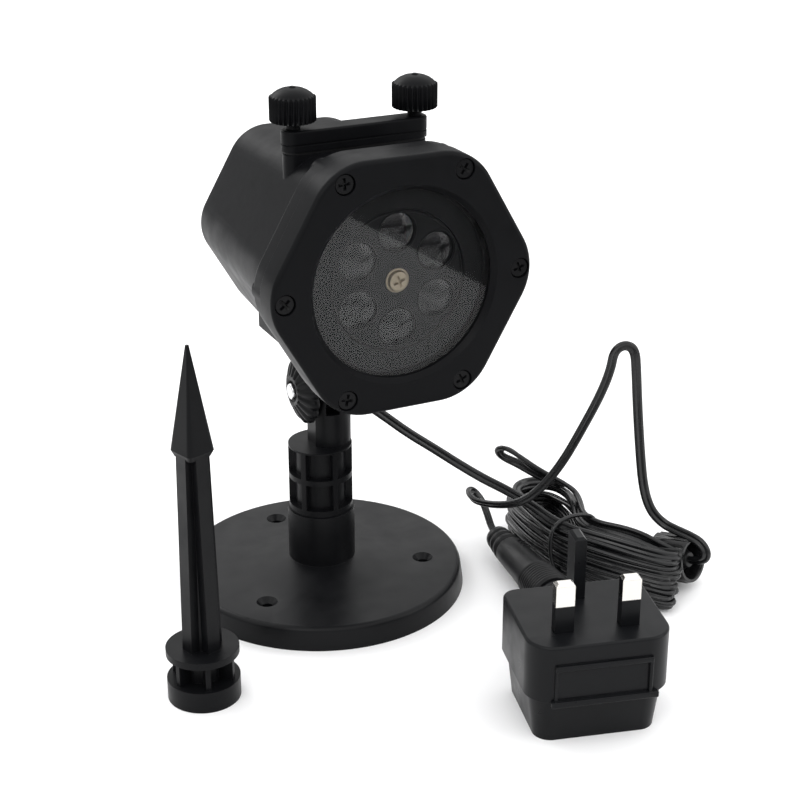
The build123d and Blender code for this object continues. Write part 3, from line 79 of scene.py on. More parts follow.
# ============================================================================== finishes
@dataclass(frozen=True)
class Finish:
    """Base of every finish: a name, a colour and the gloss of the surface.

    grain is the size of the surface's finest texture and relief its height, both in mm.
    mottle is how far the colour strays, and sheen_spread how far the roughness does.
    """

    name: str
    colour: tuple[float, float, float]
    roughness: float
    specular: float = 0.3
    metallic: float = 0.0
    grain: float = 0.16
    relief: float = 0.006
    mottle: float = 0.25
    sheen_spread: float = 0.06
    patch: float = 9.0
    edge: float = 0.22
    stretch: tuple[float, float, float] = (1.0, 1.0, 1.0)
    coat: float = 0.0

    def material(self) -> bpy.types.Material:
        """Builds the node material once and returns it.

        Returns:
            The material, shared by every piece of this finish.
        """
        known = bpy.data.materials.get(self.name)
        if known:
            return known
        made = bpy.data.materials.new(self.name)
        made.use_nodes = True
        nodes, links = made.node_tree.nodes, made.node_tree.links
        shader = nodes["Principled BSDF"]
        shader.inputs["Metallic"].default_value = self.metallic
        shader.inputs["Specular IOR Level"].default_value = self.specular
        shader.inputs["Coat Weight"].default_value = self.coat
        shader.inputs["Coat Roughness"].default_value = 0.12
        where = nodes.new("ShaderNodeTexCoord")
        mapping = nodes.new("ShaderNodeMapping")
        mapping.inputs["Scale"].default_value = self.stretch
        links.new(where.outputs["Object"], mapping.inputs["Vector"])
        fine = self._noise(nodes, links, mapping, self.grain, 3.0)
        broad = self._noise(nodes, links, mapping, self.patch, 4.0)
        tint = nodes.new("ShaderNodeMix")
        tint.data_type = "RGBA"
        low = tuple(c * (1 - self.mottle) for c in self.colour)
        high = tuple(min(1.0, c * (1 + self.mottle)) for c in self.colour)
        tint.inputs["A"].default_value = (*low, 1)
        tint.inputs["B"].default_value = (*high, 1)
        links.new(broad.outputs["Fac"], tint.inputs["Factor"])
        links.new(tint.outputs["Result"], shader.inputs["Base Color"])
        gloss = nodes.new("ShaderNodeMapRange")
        gloss.inputs["From Min"].default_value = 0.3
        gloss.inputs["From Max"].default_value = 0.7
        gloss.inputs["To Min"].default_value = max(0.02, self.roughness - self.sheen_spread)
        gloss.inputs["To Max"].default_value = min(1.0, self.roughness + self.sheen_spread)
        links.new(broad.outputs["Fac"], gloss.inputs["Value"])
        links.new(gloss.outputs["Result"], shader.inputs["Roughness"])
        rounding = nodes.new("ShaderNodeBevel")
        rounding.samples = 4
        rounding.inputs["Radius"].default_value = self.edge * MM
        bump = nodes.new("ShaderNodeBump")
        bump.inputs["Strength"].default_value = 1.0
        bump.inputs["Distance"].default_value = self.relief * MM
        links.new(fine.outputs["Fac"], bump.inputs["Height"])
        links.new(rounding.outputs["Normal"], bump.inputs["Normal"])
        links.new(bump.outputs["Normal"], shader.inputs["Normal"])
        self.dress(made)
        return made

    def _noise(
        self,
        nodes: bpy.types.Nodes,
        links: bpy.types.NodeLinks,
        mapping: bpy.types.ShaderNode,
        size: float,
        detail: float,
    ) -> bpy.types.ShaderNode:
        """Adds a noise whose features are about the given size.

        Args:
            nodes: The material's nodes.
            links: The material's links.
            mapping: The node that gives the coordinates.
            size: Feature size in mm.
            detail: Octaves of the noise.

        Returns:
            The noise node.
        """
        noise = nodes.new("ShaderNodeTexNoise")
        noise.inputs["Scale"].default_value = 1.0 / (size * MM)
        noise.inputs["Detail"].default_value = detail
        links.new(mapping.outputs["Vector"], noise.inputs["Vector"])
        return noise

    def dress(self, made: bpy.types.Material) -> None:
        """Adds what a special finish needs; the plain one adds nothing."""


@dataclass(frozen=True)
class PaneFinish(Finish):
    """A thin flat pane: what is behind it shows unbent, under a faint reflection."""

    cover: float = 0.2

    def dress(self, made: bpy.types.Material) -> None:
        """Makes the shader mostly see-through.

        Args:
            made: The material to change.
        """
        shader = made.node_tree.nodes["Principled BSDF"]
        shader.inputs["Alpha"].default_value = self.cover
        made.node_tree.links.remove(shader.inputs["Normal"].links[0])


@dataclass(frozen=True)
class ClearFinish(Finish):
    """Clear resin: light passes through, bent, with faint smears in the gloss."""

    ior: float = 1.46

    def dress(self, made: bpy.types.Material) -> None:
        """Makes the shader transmit.

        Args:
            made: The material to change.
        """
        shader = made.node_tree.nodes["Principled BSDF"]
        shader.inputs["Transmission Weight"].default_value = 1.0
        shader.inputs["IOR"].default_value = self.ior
        made.node_tree.links.remove(shader.inputs["Normal"].links[0])


@dataclass(frozen=True)
class FilmFinish(Finish):
    """Printed film: coloured cells on a dark ground."""

    def dress(self, made: bpy.types.Material) -> None:
        """Puts coloured cells over the base colour.

        Args:
            made: The material to change.
        """
        nodes, links = made.node_tree.nodes, made.node_tree.links
        where = next(n for n in nodes if n.type == "TEX_COORD")
        cells = nodes.new("ShaderNodeTexVoronoi")
        cells.inputs["Scale"].default_value = 240.0
        links.new(where.outputs["Object"], cells.inputs["Vector"])
        links.new(cells.outputs["Color"], nodes["Principled BSDF"].inputs["Base Color"])


HOUSING = Finish("HousingPlastic", (0.0044, 0.0046, 0.0054), 0.43, specular=0.08)
STAND = Finish("StandPlastic", (0.0044, 0.0046, 0.0054), 0.38, specular=0.12, relief=0.004)
BASE = Finish("BasePlastic", (0.0046, 0.0048, 0.0056), 0.36, specular=0.15, relief=0.004)
ADAPTER = Finish("AdapterPlastic", (0.0058, 0.0062, 0.0072), 0.33, specular=0.15, relief=0.005)
CONNECTOR = Finish("ConnectorPlastic", (0.0056, 0.0058, 0.0064), 0.40, specular=0.22, relief=0.003)
NUT = Finish("NutPlastic", (0.0040, 0.0041, 0.0046), 0.26, specular=0.32, relief=0.002)
JACKET = Finish(
    "CordJacket", (0.0060, 0.0063, 0.0070), 0.27, specular=0.42, relief=0.002, edge=0.05, mottle=0.3
)
BLACK_SCREW = Finish("BlackScrew", (0.0044, 0.0045, 0.0052), 0.30, specular=0.12, relief=0.003)
NICKEL = Finish(
    "NickelPlate", (0.74, 0.72, 0.68), 0.14, metallic=1.0, mottle=0.05, sheen_spread=0.05,
    relief=0.002, stretch=(1.0, 1.0, 0.25),
)
BRIGHT_STEEL = Finish(
    "ZincPlate", (0.66, 0.66, 0.67), 0.24, metallic=1.0, mottle=0.06, relief=0.003, edge=0.15
)
BRASS_TINT = Finish(
    "BrassTint", (0.42, 0.36, 0.26), 0.30, metallic=1.0, mottle=0.08, relief=0.002, edge=0.08
)
WHEEL = Finish("WheelPlastic", (0.0085, 0.0090, 0.0100), 0.42, specular=0.15, relief=0.0)
MASK = Finish("MaskPlastic", (0.0070, 0.0075, 0.0085), 0.40, specular=0.15, relief=0.0)
INNER = Finish("InnerPlastic", (0.016, 0.016, 0.018), 0.50, specular=0.3)
RUBBER = Finish("SealRubber", (0.012, 0.012, 0.013), 0.60, specular=0.25)
MOTOR = Finish("MotorSteel", (0.45, 0.45, 0.45), 0.38, metallic=1.0, stretch=(1.0, 6.0, 1.0))
ALUMINIUM = Finish("SinkAluminium", (0.68, 0.69, 0.70), 0.36, metallic=1.0, stretch=(6.0, 1.0, 6.0))
BOARD = Finish("BoardGreen", (0.02, 0.12, 0.06), 0.34, specular=0.5, mottle=0.35, patch=3.0)
LED = Finish("LedPhosphor", (0.80, 0.56, 0.10), 0.45, mottle=0.1)
GLASS = PaneFinish(
    "WindowGlass", (0.012, 0.013, 0.014), 0.03, specular=1.0, cover=0.2, relief=0.0, sheen_spread=0.008,
    mottle=0.01, edge=0.01,
)
# Painted shade: the lenses' dark tint stands in for the shaded cavity behind them, so they read dark and
# show only their glints.
SHADE_TINTED_LENS = ClearFinish(
    "LensResinPaintedShade", (0.10, 0.106, 0.115), 0.03, specular=0.5, relief=0.0, sheen_spread=0.01,
    mottle=0.02, edge=0.02, ior=1.52,
)
FILM = FilmFinish("PatternFilm", (0.3, 0.1, 0.1), 0.3, specular=0.5)


# ============================================================================== mesh helpers
def turned(profile: list[tuple[float, float]], steps: int) -> bmesh.types.BMesh:
    """Spins an outline round the Z axis into a closed skin.

    Args:
        profile: (distance along Z, radius) pairs in mm, on the axis at both ends.
        steps: Number of steps in the full turn.

    Returns:
        The mesh, in metres.
    """
    bm = bmesh.new()
    rows = [bm.verts.new((radius * MM, 0, along * MM)) for along, radius in profile]
    edges = [bm.edges.new(pair) for pair in zip(rows, rows[1:])]
    bmesh.ops.spin(
        bm, geom=rows + edges, cent=(0, 0, 0), axis=(0, 0, 1), angle=math.tau, steps=steps,
        use_merge=True,
    )
    bmesh.ops.remove_doubles(bm, verts=bm.verts, dist=1e-6)
    bmesh.ops.recalc_face_normals(bm, faces=bm.faces)
    return bm


def soften(bm: bmesh.types.BMesh, width: float, angle: float = 32.0, segments: int = 2) -> None:
    """Bevels the sharp edges.

    Args:
        bm: The mesh to change.
        width: Bevel width in mm.
        angle: Edges between faces that turn by more degrees than this are bevelled.
        segments: Number of bevel segments.
    """
    limit = math.radians(angle)
    sharp = [e for e in bm.edges if len(e.link_faces) == 2 and e.calc_face_angle(0) > limit]
    bmesh.ops.bevel(
        bm, geom=sharp, offset=width * MM, offset_type="OFFSET", affect="EDGES",
        segments=segments, profile=0.5, material=-1, clamp_overlap=True,
    )


def flute(
    bm: bmesh.types.BMesh, count: int, depth: float, inner: float, power: float = 1.0,
    low: float = -1e3, high: float = 1e3,
) -> None:
    """Presses flutes into the outer wall of a body turned round Z.

    Args:
        bm: The mesh to change.
        count: Number of flutes round the body.
        depth: Depth of a flute in mm.
        inner: Only points further out than this radius in mm move.
        power: Above 1 the flutes are narrow grooves, below 1 the ridges between them are.
        low: Lowest height in mm that moves.
        high: Highest height in mm that moves.
    """
    for v in bm.verts:
        radius = math.hypot(v.co.x, v.co.y)
        if radius < inner * MM or not low * MM <= v.co.z <= high * MM:
            continue
        wave = 0.5 + 0.5 * math.cos(count * math.atan2(v.co.y, v.co.x))
        share = 1 - depth * MM * wave**power / radius
        v.co.x *= share
        v.co.y *= share


def along_line(start: tuple[float, float, float], end: tuple[float, float, float]) -> Matrix:
    """Matrix that takes Z at the origin to the line from start towards end, in mm."""
    direction = (Vector(end) - Vector(start)).normalized()
    turn = direction.to_track_quat("Z", "Y").to_matrix().to_4x4()
    return Matrix.Translation(Vector(start) * MM) @ turn


def smooth_copy(bm: bmesh.types.BMesh, name: str, angle: float = 30.0) -> bpy.types.Mesh:
    """Turns a bmesh into a mesh that shades smooth except at sharp edges.

    Args:
        bm: The mesh, freed here.
        name: Name of the mesh.
        angle: Edges that turn by more degrees than this stay sharp.

    Returns:
        The mesh.
    """
    for face in bm.faces:
        face.smooth = True
    for e in bm.edges:
        e.smooth = len(e.link_faces) != 2 or e.calc_face_angle(0) < math.radians(angle)
    mesh = bpy.data.meshes.new(name)
    bm.to_mesh(mesh)
    bm.free()
    return mesh


def place(
    name: str, mesh: bpy.types.Mesh, finish: Finish, body: str | None,
    stands_for: tuple[str, ...] = (),
) -> bpy.types.Object:
    """Puts a finished mesh in the scene and ties it to the frame.

    Args:
        name: The piece's name.
        mesh: Its mesh, already in place.
        finish: Its finish.
        body: The CAD body it moves with, or None for a piece tied to no body, such as a lead that runs
            between two.
        stands_for: CAD nodes that it replaces.

    Returns:
        The object.
    """
    mesh.materials.clear()
    mesh.materials.append(finish.material())
    piece = bpy.data.objects.new(name, mesh)
    bpy.context.scene.collection.objects.link(piece)
    if body:
        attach(piece, body)
    if stands_for:
        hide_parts(*stands_for)
    LOG.info("%s on %s, %d faces", name, body or "two bodies", len(mesh.polygons))
    return piece


# ============================================================================== studio
@dataclass
class Studio:
    """Camera, pale floor and soft lights. Positions are metres."""

    eye: tuple[float, float, float] = (-0.2286, -0.5403, 0.3254)
    look: tuple[float, float, float] = (0.4008, 0.8273, -0.3936)
    lens_mm: float = 77.75
    sensor_mm: float = 36.0
    floor_half: float = 6.0
    sky_top: float = 1.55
    sky_low: float = 0.10

    def build(self) -> None:
        """Makes the whole studio."""
        self.camera()
        self.sky()
        self.floor()
        self.lights()
        # its edge shows as a slanting line in the window
        self.card("DarkCard", 0.05, ((0.2, -0.57), (0.9, -1.4), (1.6, -0.4), (0.216, -0.40)))

    def camera(self) -> None:
        """Makes the camera at the set viewing angle."""
        data = bpy.data.cameras.new("Camera")
        data.lens = self.lens_mm
        data.sensor_width = self.sensor_mm
        data.clip_start = 0.01
        camera = bpy.data.objects.new("Camera", data)
        bpy.context.scene.collection.objects.link(camera)
        camera.location = self.eye
        camera.rotation_euler = Vector(self.look).to_track_quat("-Z", "Y").to_euler()
        bpy.context.scene.camera = camera
        bpy.context.scene.view_settings.view_transform = "Standard"

    def sky(self) -> None:
        """Makes a sky that is bright overhead and dim towards the horizon."""
        world = bpy.data.worlds.new("SoftSky")
        bpy.context.scene.world = world
        world.use_nodes = True
        nodes, links = world.node_tree.nodes, world.node_tree.links
        where = nodes.new("ShaderNodeTexCoord")
        split = nodes.new("ShaderNodeSeparateXYZ")
        ramp = nodes.new("ShaderNodeMapRange")
        ramp.interpolation_type = "SMOOTHSTEP"
        ramp.inputs["From Min"].default_value = 0.0
        ramp.inputs["From Max"].default_value = 0.5
        ramp.inputs["To Min"].default_value = self.sky_low
        ramp.inputs["To Max"].default_value = self.sky_top
        links.new(where.outputs["Generated"], split.inputs["Vector"])
        links.new(split.outputs["Z"], ramp.inputs["Value"])
        links.new(ramp.outputs["Result"], nodes["Background"].inputs["Strength"])
        nodes["Background"].inputs["Color"].default_value = (1.0, 1.0, 1.0, 1.0)

    def floor(self) -> None:
        """Makes the plain pale floor."""
        bm = bmesh.new()
        bmesh.ops.create_grid(bm, x_segments=4, y_segments=4, size=self.floor_half)
        mesh = bpy.data.meshes.new("Floor")
        bm.to_mesh(mesh)
        bm.free()
        floor = bpy.data.objects.new("Floor", mesh)
        bpy.context.scene.collection.objects.link(floor)
        paper = Finish(
            "PaleFloor", (0.93, 0.93, 0.935), 0.9, specular=0.1, mottle=0.004, relief=0.0,
            patch=300.0, edge=0.01,
        )
        mesh.materials.append(paper.material())
        floor.visible_diffuse = False

    def lights(self) -> None:
        """Makes the soft boxes: a key at the upper left, a rim light behind, a weak side one."""
        for name, spot, aim, size, power in (
            ("Key", (-1.15, -0.9, 1.25), (0.0, -0.04, 0.10), 0.7, 4.0),
            ("Rim", (-0.5, 1.5, 1.2), (0.03, -0.04, 0.08), 0.9, 9.0),
            ("Side", (1.1, -0.9, 0.5), (0.02, -0.04, 0.12), 0.8, 4.0),
        ):
            data = bpy.data.lights.new(name, "AREA")
            data.size = size
            data.energy = power
            light = bpy.data.objects.new(name, data)
            bpy.context.scene.collection.objects.link(light)
            light.location = spot
            turn = (Vector(aim) - Vector(spot)).to_track_quat("-Z", "Y")
            light.rotation_euler = turn.to_euler()

    def card(self, name: str, shade: float, corners: tuple[tuple[float, float], ...]) -> None:
        """Makes a card on the floor that only reflections see.

        Args:
            name: The card's name.
            shade: How light it is, from 0 to 1.
            corners: Its outline on the floor, in metres.
        """
        bm = bmesh.new()
        bm.faces.new([bm.verts.new((x, y, 0.0015)) for x, y in corners])
        mesh = bpy.data.meshes.new(name)
        bm.to_mesh(mesh)
        bm.free()
        card = bpy.data.objects.new(name, mesh)
        bpy.context.scene.collection.objects.link(card)
        mesh.materials.append(Finish(name, (shade, shade, shade), 0.9, specular=0.1).material())
        card.visible_camera = False
        card.visible_diffuse = False
        card.visible_shadow = False


# ============================================================================== leads
@dataclass
class TwinFlex:
    """Flat twin flex: two round cores side by side, swept along one smooth line."""

    width: float = 3.8
    thickness: float = 1.9
    steps: int = 9

    def section(self) -> bpy.types.Object:
        """Makes the flex's cross-section as a closed curve.

        Returns:
            The section object, to be removed after use.
        """
        data = bpy.data.curves.new("FlexSection", "CURVE")
        data.dimensions = "2D"
        spline = data.splines.new("POLY")
        core = self.thickness / 2
        offset = self.width / 2 - core
        points = []
        for side in (1, -1):
            for k in range(self.steps):
                turn = math.radians(-156 + 312 * k / (self.steps - 1)) + (side < 0) * math.pi
                points.append((side * offset + core * math.cos(turn), core * math.sin(turn)))
        spline.points.add(len(points) - 1)
        for point, (x, y) in zip(spline.points, points):
            point.co = (x * MM, y * MM, 0, 1)
        spline.use_cyclic_u = True
        section = bpy.data.objects.new("FlexSection", data)
        bpy.context.scene.collection.objects.link(section)
        return section

    def sweep(
        self, name: str, route: list[tuple[float, float, float]], tilts: list[float],
        fineness: int,
    ) -> tuple[bpy.types.Mesh, list[Vector]]:
        """Sweeps the section along a smooth line.

        Args:
            name: Name of the mesh.
            route: Control points in mm.
            tilts: The flex's turn about its own line at each point, in degrees.
            fineness: Steps of the line for each control point.

        Returns:
            The mesh and the points of its centreline.
        """
        data = bpy.data.curves.new(name, "CURVE")
        data.dimensions = "3D"
        data.resolution_u = fineness
        data.twist_mode = "MINIMUM"
        spline = data.splines.new("NURBS")
        spline.points.add(len(route) - 1)
        for point, spot, tilt in zip(spline.points, route, tilts):
            point.co = (*(Vector(spot) * MM), 1)
            point.tilt = math.radians(tilt)
        spline.order_u = 3
        spline.use_endpoint_u = True
        holder = bpy.data.objects.new(name, data)
        bpy.context.scene.collection.objects.link(holder)
        line = bpy.data.meshes.new_from_object(holder)
        path = [v.co.copy() for v in line.vertices]
        section = self.section()
        data.bevel_mode = "OBJECT"
        data.bevel_object = section
        data.use_fill_caps = True
        bpy.context.view_layer.update()
        graph = bpy.context.evaluated_depsgraph_get()
        mesh = bpy.data.meshes.new_from_object(holder.evaluated_get(graph), depsgraph=graph)
        mesh.name = name
        for gone in (holder, section):
            bpy.data.objects.remove(gone)
        bpy.data.meshes.remove(line)
        bm = bmesh.new()
        bm.from_mesh(mesh)
        bmesh.ops.remove_doubles(bm, verts=bm.verts, dist=1e-7)
        bmesh.ops.recalc_face_normals(bm, faces=bm.faces)
        bpy.data.meshes.remove(mesh)
        return smooth_copy(bm, name, angle=55), path


def run_length(path: list[Vector]) -> float:
    """Length of a line of points, in their own unit."""
    return sum((b - a).length for a, b in zip(path, path[1:]))


@dataclass
class HankWinding:
    """The put-away part of the lamp's lead: long turns round a waist, fanned out at one end."""

    turns: int = 11
    top: float = 20.6
    pitch: float = 1.72
    waist: tuple[float, float] = (89.0, -38.0)
    loop: tuple[float, float] = (92.5, -5.0)
    loop_radius: float = 11.8
    tip_spread: Vector = field(default_factory=lambda: Vector((1.9, 1.2, 0.0)))
    stray: tuple[tuple[float, float, float], ...] = (
        (98.6, -17.2, 26.0), (94.0, -15.0, 28.6), (88.2, -10.6, 32.0), (84.2, -6.6, 35.6),
        (81.2, -2.4, 38.4), (78.4, 0.0, 39.6), (77.6, 2.6, 37.2), (79.6, 2.4, 34.2),
        (83.6, -1.8, 32.6),
        (88.0, -6.6, 30.0), (93.2, -10.6, 26.8), (98.4, -12.6, 24.2),
    )

    def points(self) -> list[tuple[float, float, float]]:
        """Control points of every turn, from the top turn down.

        Returns:
            The points in mm.
        """
        made = []
        for k in range(self.turns):
            made += self.turn(k)
        return made

    def turn(self, k: int) -> list[tuple[float, float, float]]:
        """Control points of one turn: out to the fanned tip, back, and round the far loop.

        Args:
            k: Number of the turn, from the top.

        Returns:
            Its points in mm.
        """
        share = k / (self.turns - 1)
        sway = math.sin(2.4 * k + 0.6)
        swing = math.sin(1.7 * k + 2.1)
        z = self.top - self.pitch * k
        below = z - self.pitch / 2
        tip = Vector((115.4 - 9.5 * share + 1.2 * swing, -69.0 - 11.6 * share, 15.8 - 12.6 * share))
        near = Vector((self.waist[0] - 6.2 + 1.6 * sway, self.waist[1], z))
        far = Vector((self.waist[0] + 4.6 + 1.5 * swing, self.waist[1] + 1.5, below))
        radius = self.loop_radius - 1.9 - 1.9 * sway
        lx, ly = self.loop
        out = near.lerp(tip, 0.45) + Vector((-3.4 + sway, -1.6, 1.0 - share))
        late = near.lerp(tip, 0.84) + Vector((-3.2, -2.9, 0.4))
        early = far.lerp(tip, 0.84) + Vector((1.6, 2.2, -0.2))
        back = far.lerp(tip, 0.45) + Vector((3.2 + 0.8 * swing, 1.4, 0.8 - share))
        hump = 3.2 * max(0.0, 1 - 1.6 * share)
        stray = [] if k else list(self.stray)
        return [
            tuple(near),
            tuple(out),
            tuple(late),
            tuple(tip - self.tip_spread),
            tuple(tip + self.tip_spread),
            tuple(early),
            tuple(back),
            tuple(far),
            (100.2 + 1.2 * swing, -21.5 + sway, below + hump),
            *stray,
            (lx + radius, ly - 3.0, below + hump / 2),
            (lx + 0.86 * radius, ly + 0.72 * radius, below),
            (lx - 0.10 * radius, ly + radius + 1.2 * swing, below - 0.1),
            (lx - 0.90 * radius, ly + 0.66 * radius, below - 0.2),
            (lx - radius - 0.4, ly - 4.0, below - 0.4),
            (81.4 + 1.3 * sway, -23.0, z - 0.8 * self.pitch),
        ]


@dataclass
class LampLead:
    """The lamp's lead: from the gland, through the hank, to the socket at the coupling."""

    flex: TwinFlex
    winding: HankWinding
    length_m: float = 2.2
    arrival: tuple[tuple[float, float, float], ...] = (
        (12.4, 12.4, 87.3), (13.2, 12.4, 77.6), (18.6, 12.2, 68.8), (29.9, 11.0, 59.4),
        (41.2, 10.0, 49.2), (51.2, 8.0, 41.6), (60.2, 4.0, 34.6), (67.8, -3.0, 29.5),
        (74.5, -11.5, 26.4), (79.0, -22.0, 24.0),
    )
    departure: tuple[tuple[float, float, float], ...] = (
        (88.0, -46.0, 2.6), (93.5, -52.0, 2.6), (99.0, -50.0, 2.6), (98.6, -42.0, 3.2),
        (97.6, -35.0, 5.0), (100.6, -31.6, 6.2), (106.4, -33.8, 6.0), (110.4, -39.8, 6.0),
        (112.9, -45.2, 7.0),
    )

    def build(self) -> bpy.types.Object:
        """Returns:
            The lead.
        """
        wound = self.winding.points()
        route = [*self.arrival, *wound, *self.departure]
        tilts = [90.0] * len(self.arrival)
        tilts += [90 + 26 * math.sin(1.3 * k) for k in range(len(wound))]
        tilts += [90.0] * len(self.departure)
        mesh, path = self.flex.sweep("lamp_cord", route, tilts, 6)
        lead = place(
            "lamp_cord", mesh, JACKET, None,
            ("lamp_lead", "lead_hank", "lamp_tail"),
        )
        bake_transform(lead)
        LOG.info("lamp cord stated %.2f m, drawn %.3f m", self.length_m, run_length(path))
        return lead


@dataclass
class LinkLead:
    """The stiff link lead: from the adapter's connector, over its arch, into the coupling."""

    flex: TwinFlex
    length_m: float = 0.25
    route: tuple[tuple[float, float, float], ...] = (
        (68.9, -12.8, 9.0), (69.2, -8.6, 10.0), (69.8, -4.4, 13.2), (69.4, -0.6, 18.0),
        (66.6, 1.8, 22.4), (62.6, -0.8, 23.8), (61.6, -6.2, 22.8), (64.6, -13.2, 23.4),
        (68.6, -21.2, 25.8), (73.4, -27.6, 29.6), (79.6, -31.0, 36.6), (85.4, -34.5, 47.1),
        (90.6, -37.4, 59.6), (96.0, -40.6, 73.6), (98.8, -42.7, 84.4), (99.5, -43.3, 92.2),
        (103.4, -44.4, 94.6), (107.3, -45.4, 92.2), (107.8, -46.3, 84.0), (108.4, -47.6, 69.6),
        (109.9, -49.0, 50.6), (111.6, -50.0, 36.4), (114.6, -51.2, 27.0), (118.0, -55.0, 22.4),
        (120.4, -60.6, 21.6), (122.4, -66.2, 21.4), (124.4, -71.4, 20.4), (125.4, -74.4, 16.6),
        (124.6, -72.4, 12.8), (122.4, -66.6, 11.4),
    )

    def build(self) -> bpy.types.Object:
        """Returns:
            The lead.
        """
        tilts = [35.0] * len(self.route)
        mesh, path = self.flex.sweep("link_cord", list(self.route), tilts, 10)
        lead = place("link_cord", mesh, JACKET, "stand", ("link_lead",))
        LOG.info("link cord stated %.2f m, drawn %.3f m", self.length_m, run_length(path))
        return lead


@dataclass
class HankTie:
    """The thin tie round the hank's waist."""

    wire: float = 0.8
    half_width: float = 10.4
    centre: tuple[float, float, float] = (89.6, -38.0, 12.3)
    half_height: float = 11.4

    def build(self) -> None:
        """Makes the tie as a closed loop of round wire."""
        data = bpy.data.curves.new("hank_tie_wire", "CURVE")
        data.dimensions = "3D"
        data.bevel_depth = self.wire * MM
        data.bevel_resolution = 3
        data.resolution_u = 8
        spline = data.splines.new("NURBS")
        corners = 12
        spline.points.add(corners - 1)
        cx, cy, cz = self.centre
        for k, point in enumerate(spline.points):
            turn = math.tau * k / corners
            across = math.copysign(abs(math.cos(turn)) ** 0.7, math.cos(turn))
            up = math.copysign(abs(math.sin(turn)) ** 0.7, math.sin(turn))
            lean = 1.5 * up
            spot = (cx + 1.08 * self.half_width * across, cy + lean, cz + 1.02 * self.half_height * up)
            point.co = (*(Vector(spot) * MM), 1)
        spline.use_cyclic_u = True
        spline.order_u = 4
        holder = bpy.data.objects.new("hank_tie_wire", data)
        bpy.context.scene.collection.objects.link(holder)
        mesh = bpy.data.meshes.new_from_object(holder)
        bpy.data.objects.remove(holder)
        for face in mesh.polygons:
            face.use_smooth = True
        place("hank_tie_wire", mesh, JACKET, "stand", ("hank_tie",))


# ============================================================================== connectors
@dataclass
class LinkConnector:
    """Adapter-side connector: moulded boot with ring ribs, its nut and the adapter's stub."""

    nut_end: tuple[float, float, float] = (64.9, -58.1, 8.8)
    boot_end: tuple[float, float, float] = (68.7, -14.1, 8.8)
    nut_radius: float = 8.6
    nut_half: float = 7.0
    rings: int = 9
    bar_turn: float = 118.0

    def build(self) -> None:
        """Makes the three pieces along the connector's line."""
        line = along_line(self.nut_end, self.boot_end)
        self.boot(line)
        self.nut(line)
        self.stub(line)

    def boot(self, line: Matrix) -> None:
        """Makes the boot: a tapering body, two deep ring grooves and three short bars.

        Args:
            line: Matrix from the Z axis to the connector's line.
        """
        profile = [(-0.8, 0), (-0.8, 5.4), (7.0, 5.6), (7.0, 6.9), (8.2, 7.3), (11.5, 6.8)]
        profile += [(18.0, 6.4), (26.0, 6.1), (31.8, 5.9), (32.3, 5.0), (33.5, 4.9)]
        profile += [(34.0, 5.8), (35.8, 5.6), (36.3, 4.7), (37.4, 4.6), (37.9, 5.4), (39.6, 5.2)]
        profile += [(40.1, 4.4), (41.0, 4.3), (41.4, 5.0), (43.0, 4.8), (44.2, 4.5), (45.4, 3.2)]
        profile += [(45.4, 0)]
        bm = turned(profile, 64)
        soften(bm, 0.22, 26)
        for k in range(3):
            bar = bmesh.ops.create_cube(bm, size=1.0)["verts"]
            turn = math.radians(self.bar_turn)
            out = 5.95 * MM
            at = Matrix.Translation((out * math.cos(turn), out * math.sin(turn), (23.5 + 2.2 * k) * MM))
            tall = at @ Matrix.Rotation(turn, 4, "Z") @ Matrix.Diagonal((1.2 * MM, 3.4 * MM, 0.9 * MM, 1))
            bmesh.ops.transform(bm, matrix=tall, verts=bar)
        bmesh.ops.transform(bm, matrix=line, verts=bm.verts)
        place(
            "link_boot", smooth_copy(bm, "link_boot"), CONNECTOR, "stand",
            ("link_connector",),
        )

    def nut(self, line: Matrix) -> None:
        """Makes the nut with its fine ring ridges.

        Args:
            line: Matrix from the Z axis to the connector's line.
        """
        half, r = self.nut_half, self.nut_radius
        step = 2 * (half - 0.6) / self.rings
        profile = [(-half, 6.4), (-half, r - 0.5)]
        for k in range(self.rings):
            foot = -half + 0.6 + k * step
            high = r - 0.09 * k
            profile += [(foot, high - 0.45), (foot + 0.3 * step, high), (foot + 0.75 * step, high)]
        profile += [(half - 0.6, r - 1.3), (half, r - 1.5), (half, 6.4), (-half, 6.4)]
        bm = turned(profile, 72)
        bmesh.ops.transform(bm, matrix=line, verts=bm.verts)
        place(
            "link_nut_ring", smooth_copy(bm, "link_nut_ring", 60), CONNECTOR, "stand",
            ("link_nut",),
        )

    def stub(self, line: Matrix) -> None:
        """Makes the smooth tapering stub that runs into the adapter.

        Args:
            line: Matrix from the Z axis to the connector's line.
        """
        profile = [(-46.0, 0), (-46.0, 4.6), (-42.0, 4.9), (-13.0, 6.5), (-10.0, 6.9)]
        profile += [(-8.4, 7.3), (-7.2, 7.3), (-7.2, 5.4), (-1.0, 5.4), (-1.0, 0)]
        bm = turned(profile, 64)
        soften(bm, 0.25, 30)
        bmesh.ops.transform(bm, matrix=line, verts=bm.verts)
        low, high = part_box("output_stub")
        bmesh.ops.bisect_plane(
            bm, geom=[*bm.verts, *bm.edges, *bm.faces], plane_co=(0, low.y, 0),
            plane_no=(0, -1, 0), clear_outer=True,
        )
        open_rim = [e for e in bm.edges if e.is_boundary]
        if open_rim:
            bmesh.ops.holes_fill(bm, edges=open_rim)
        place(
            "output_stub_body", smooth_copy(bm, "output_stub_body"), ADAPTER, "stand",
            ("output_stub",),
        )


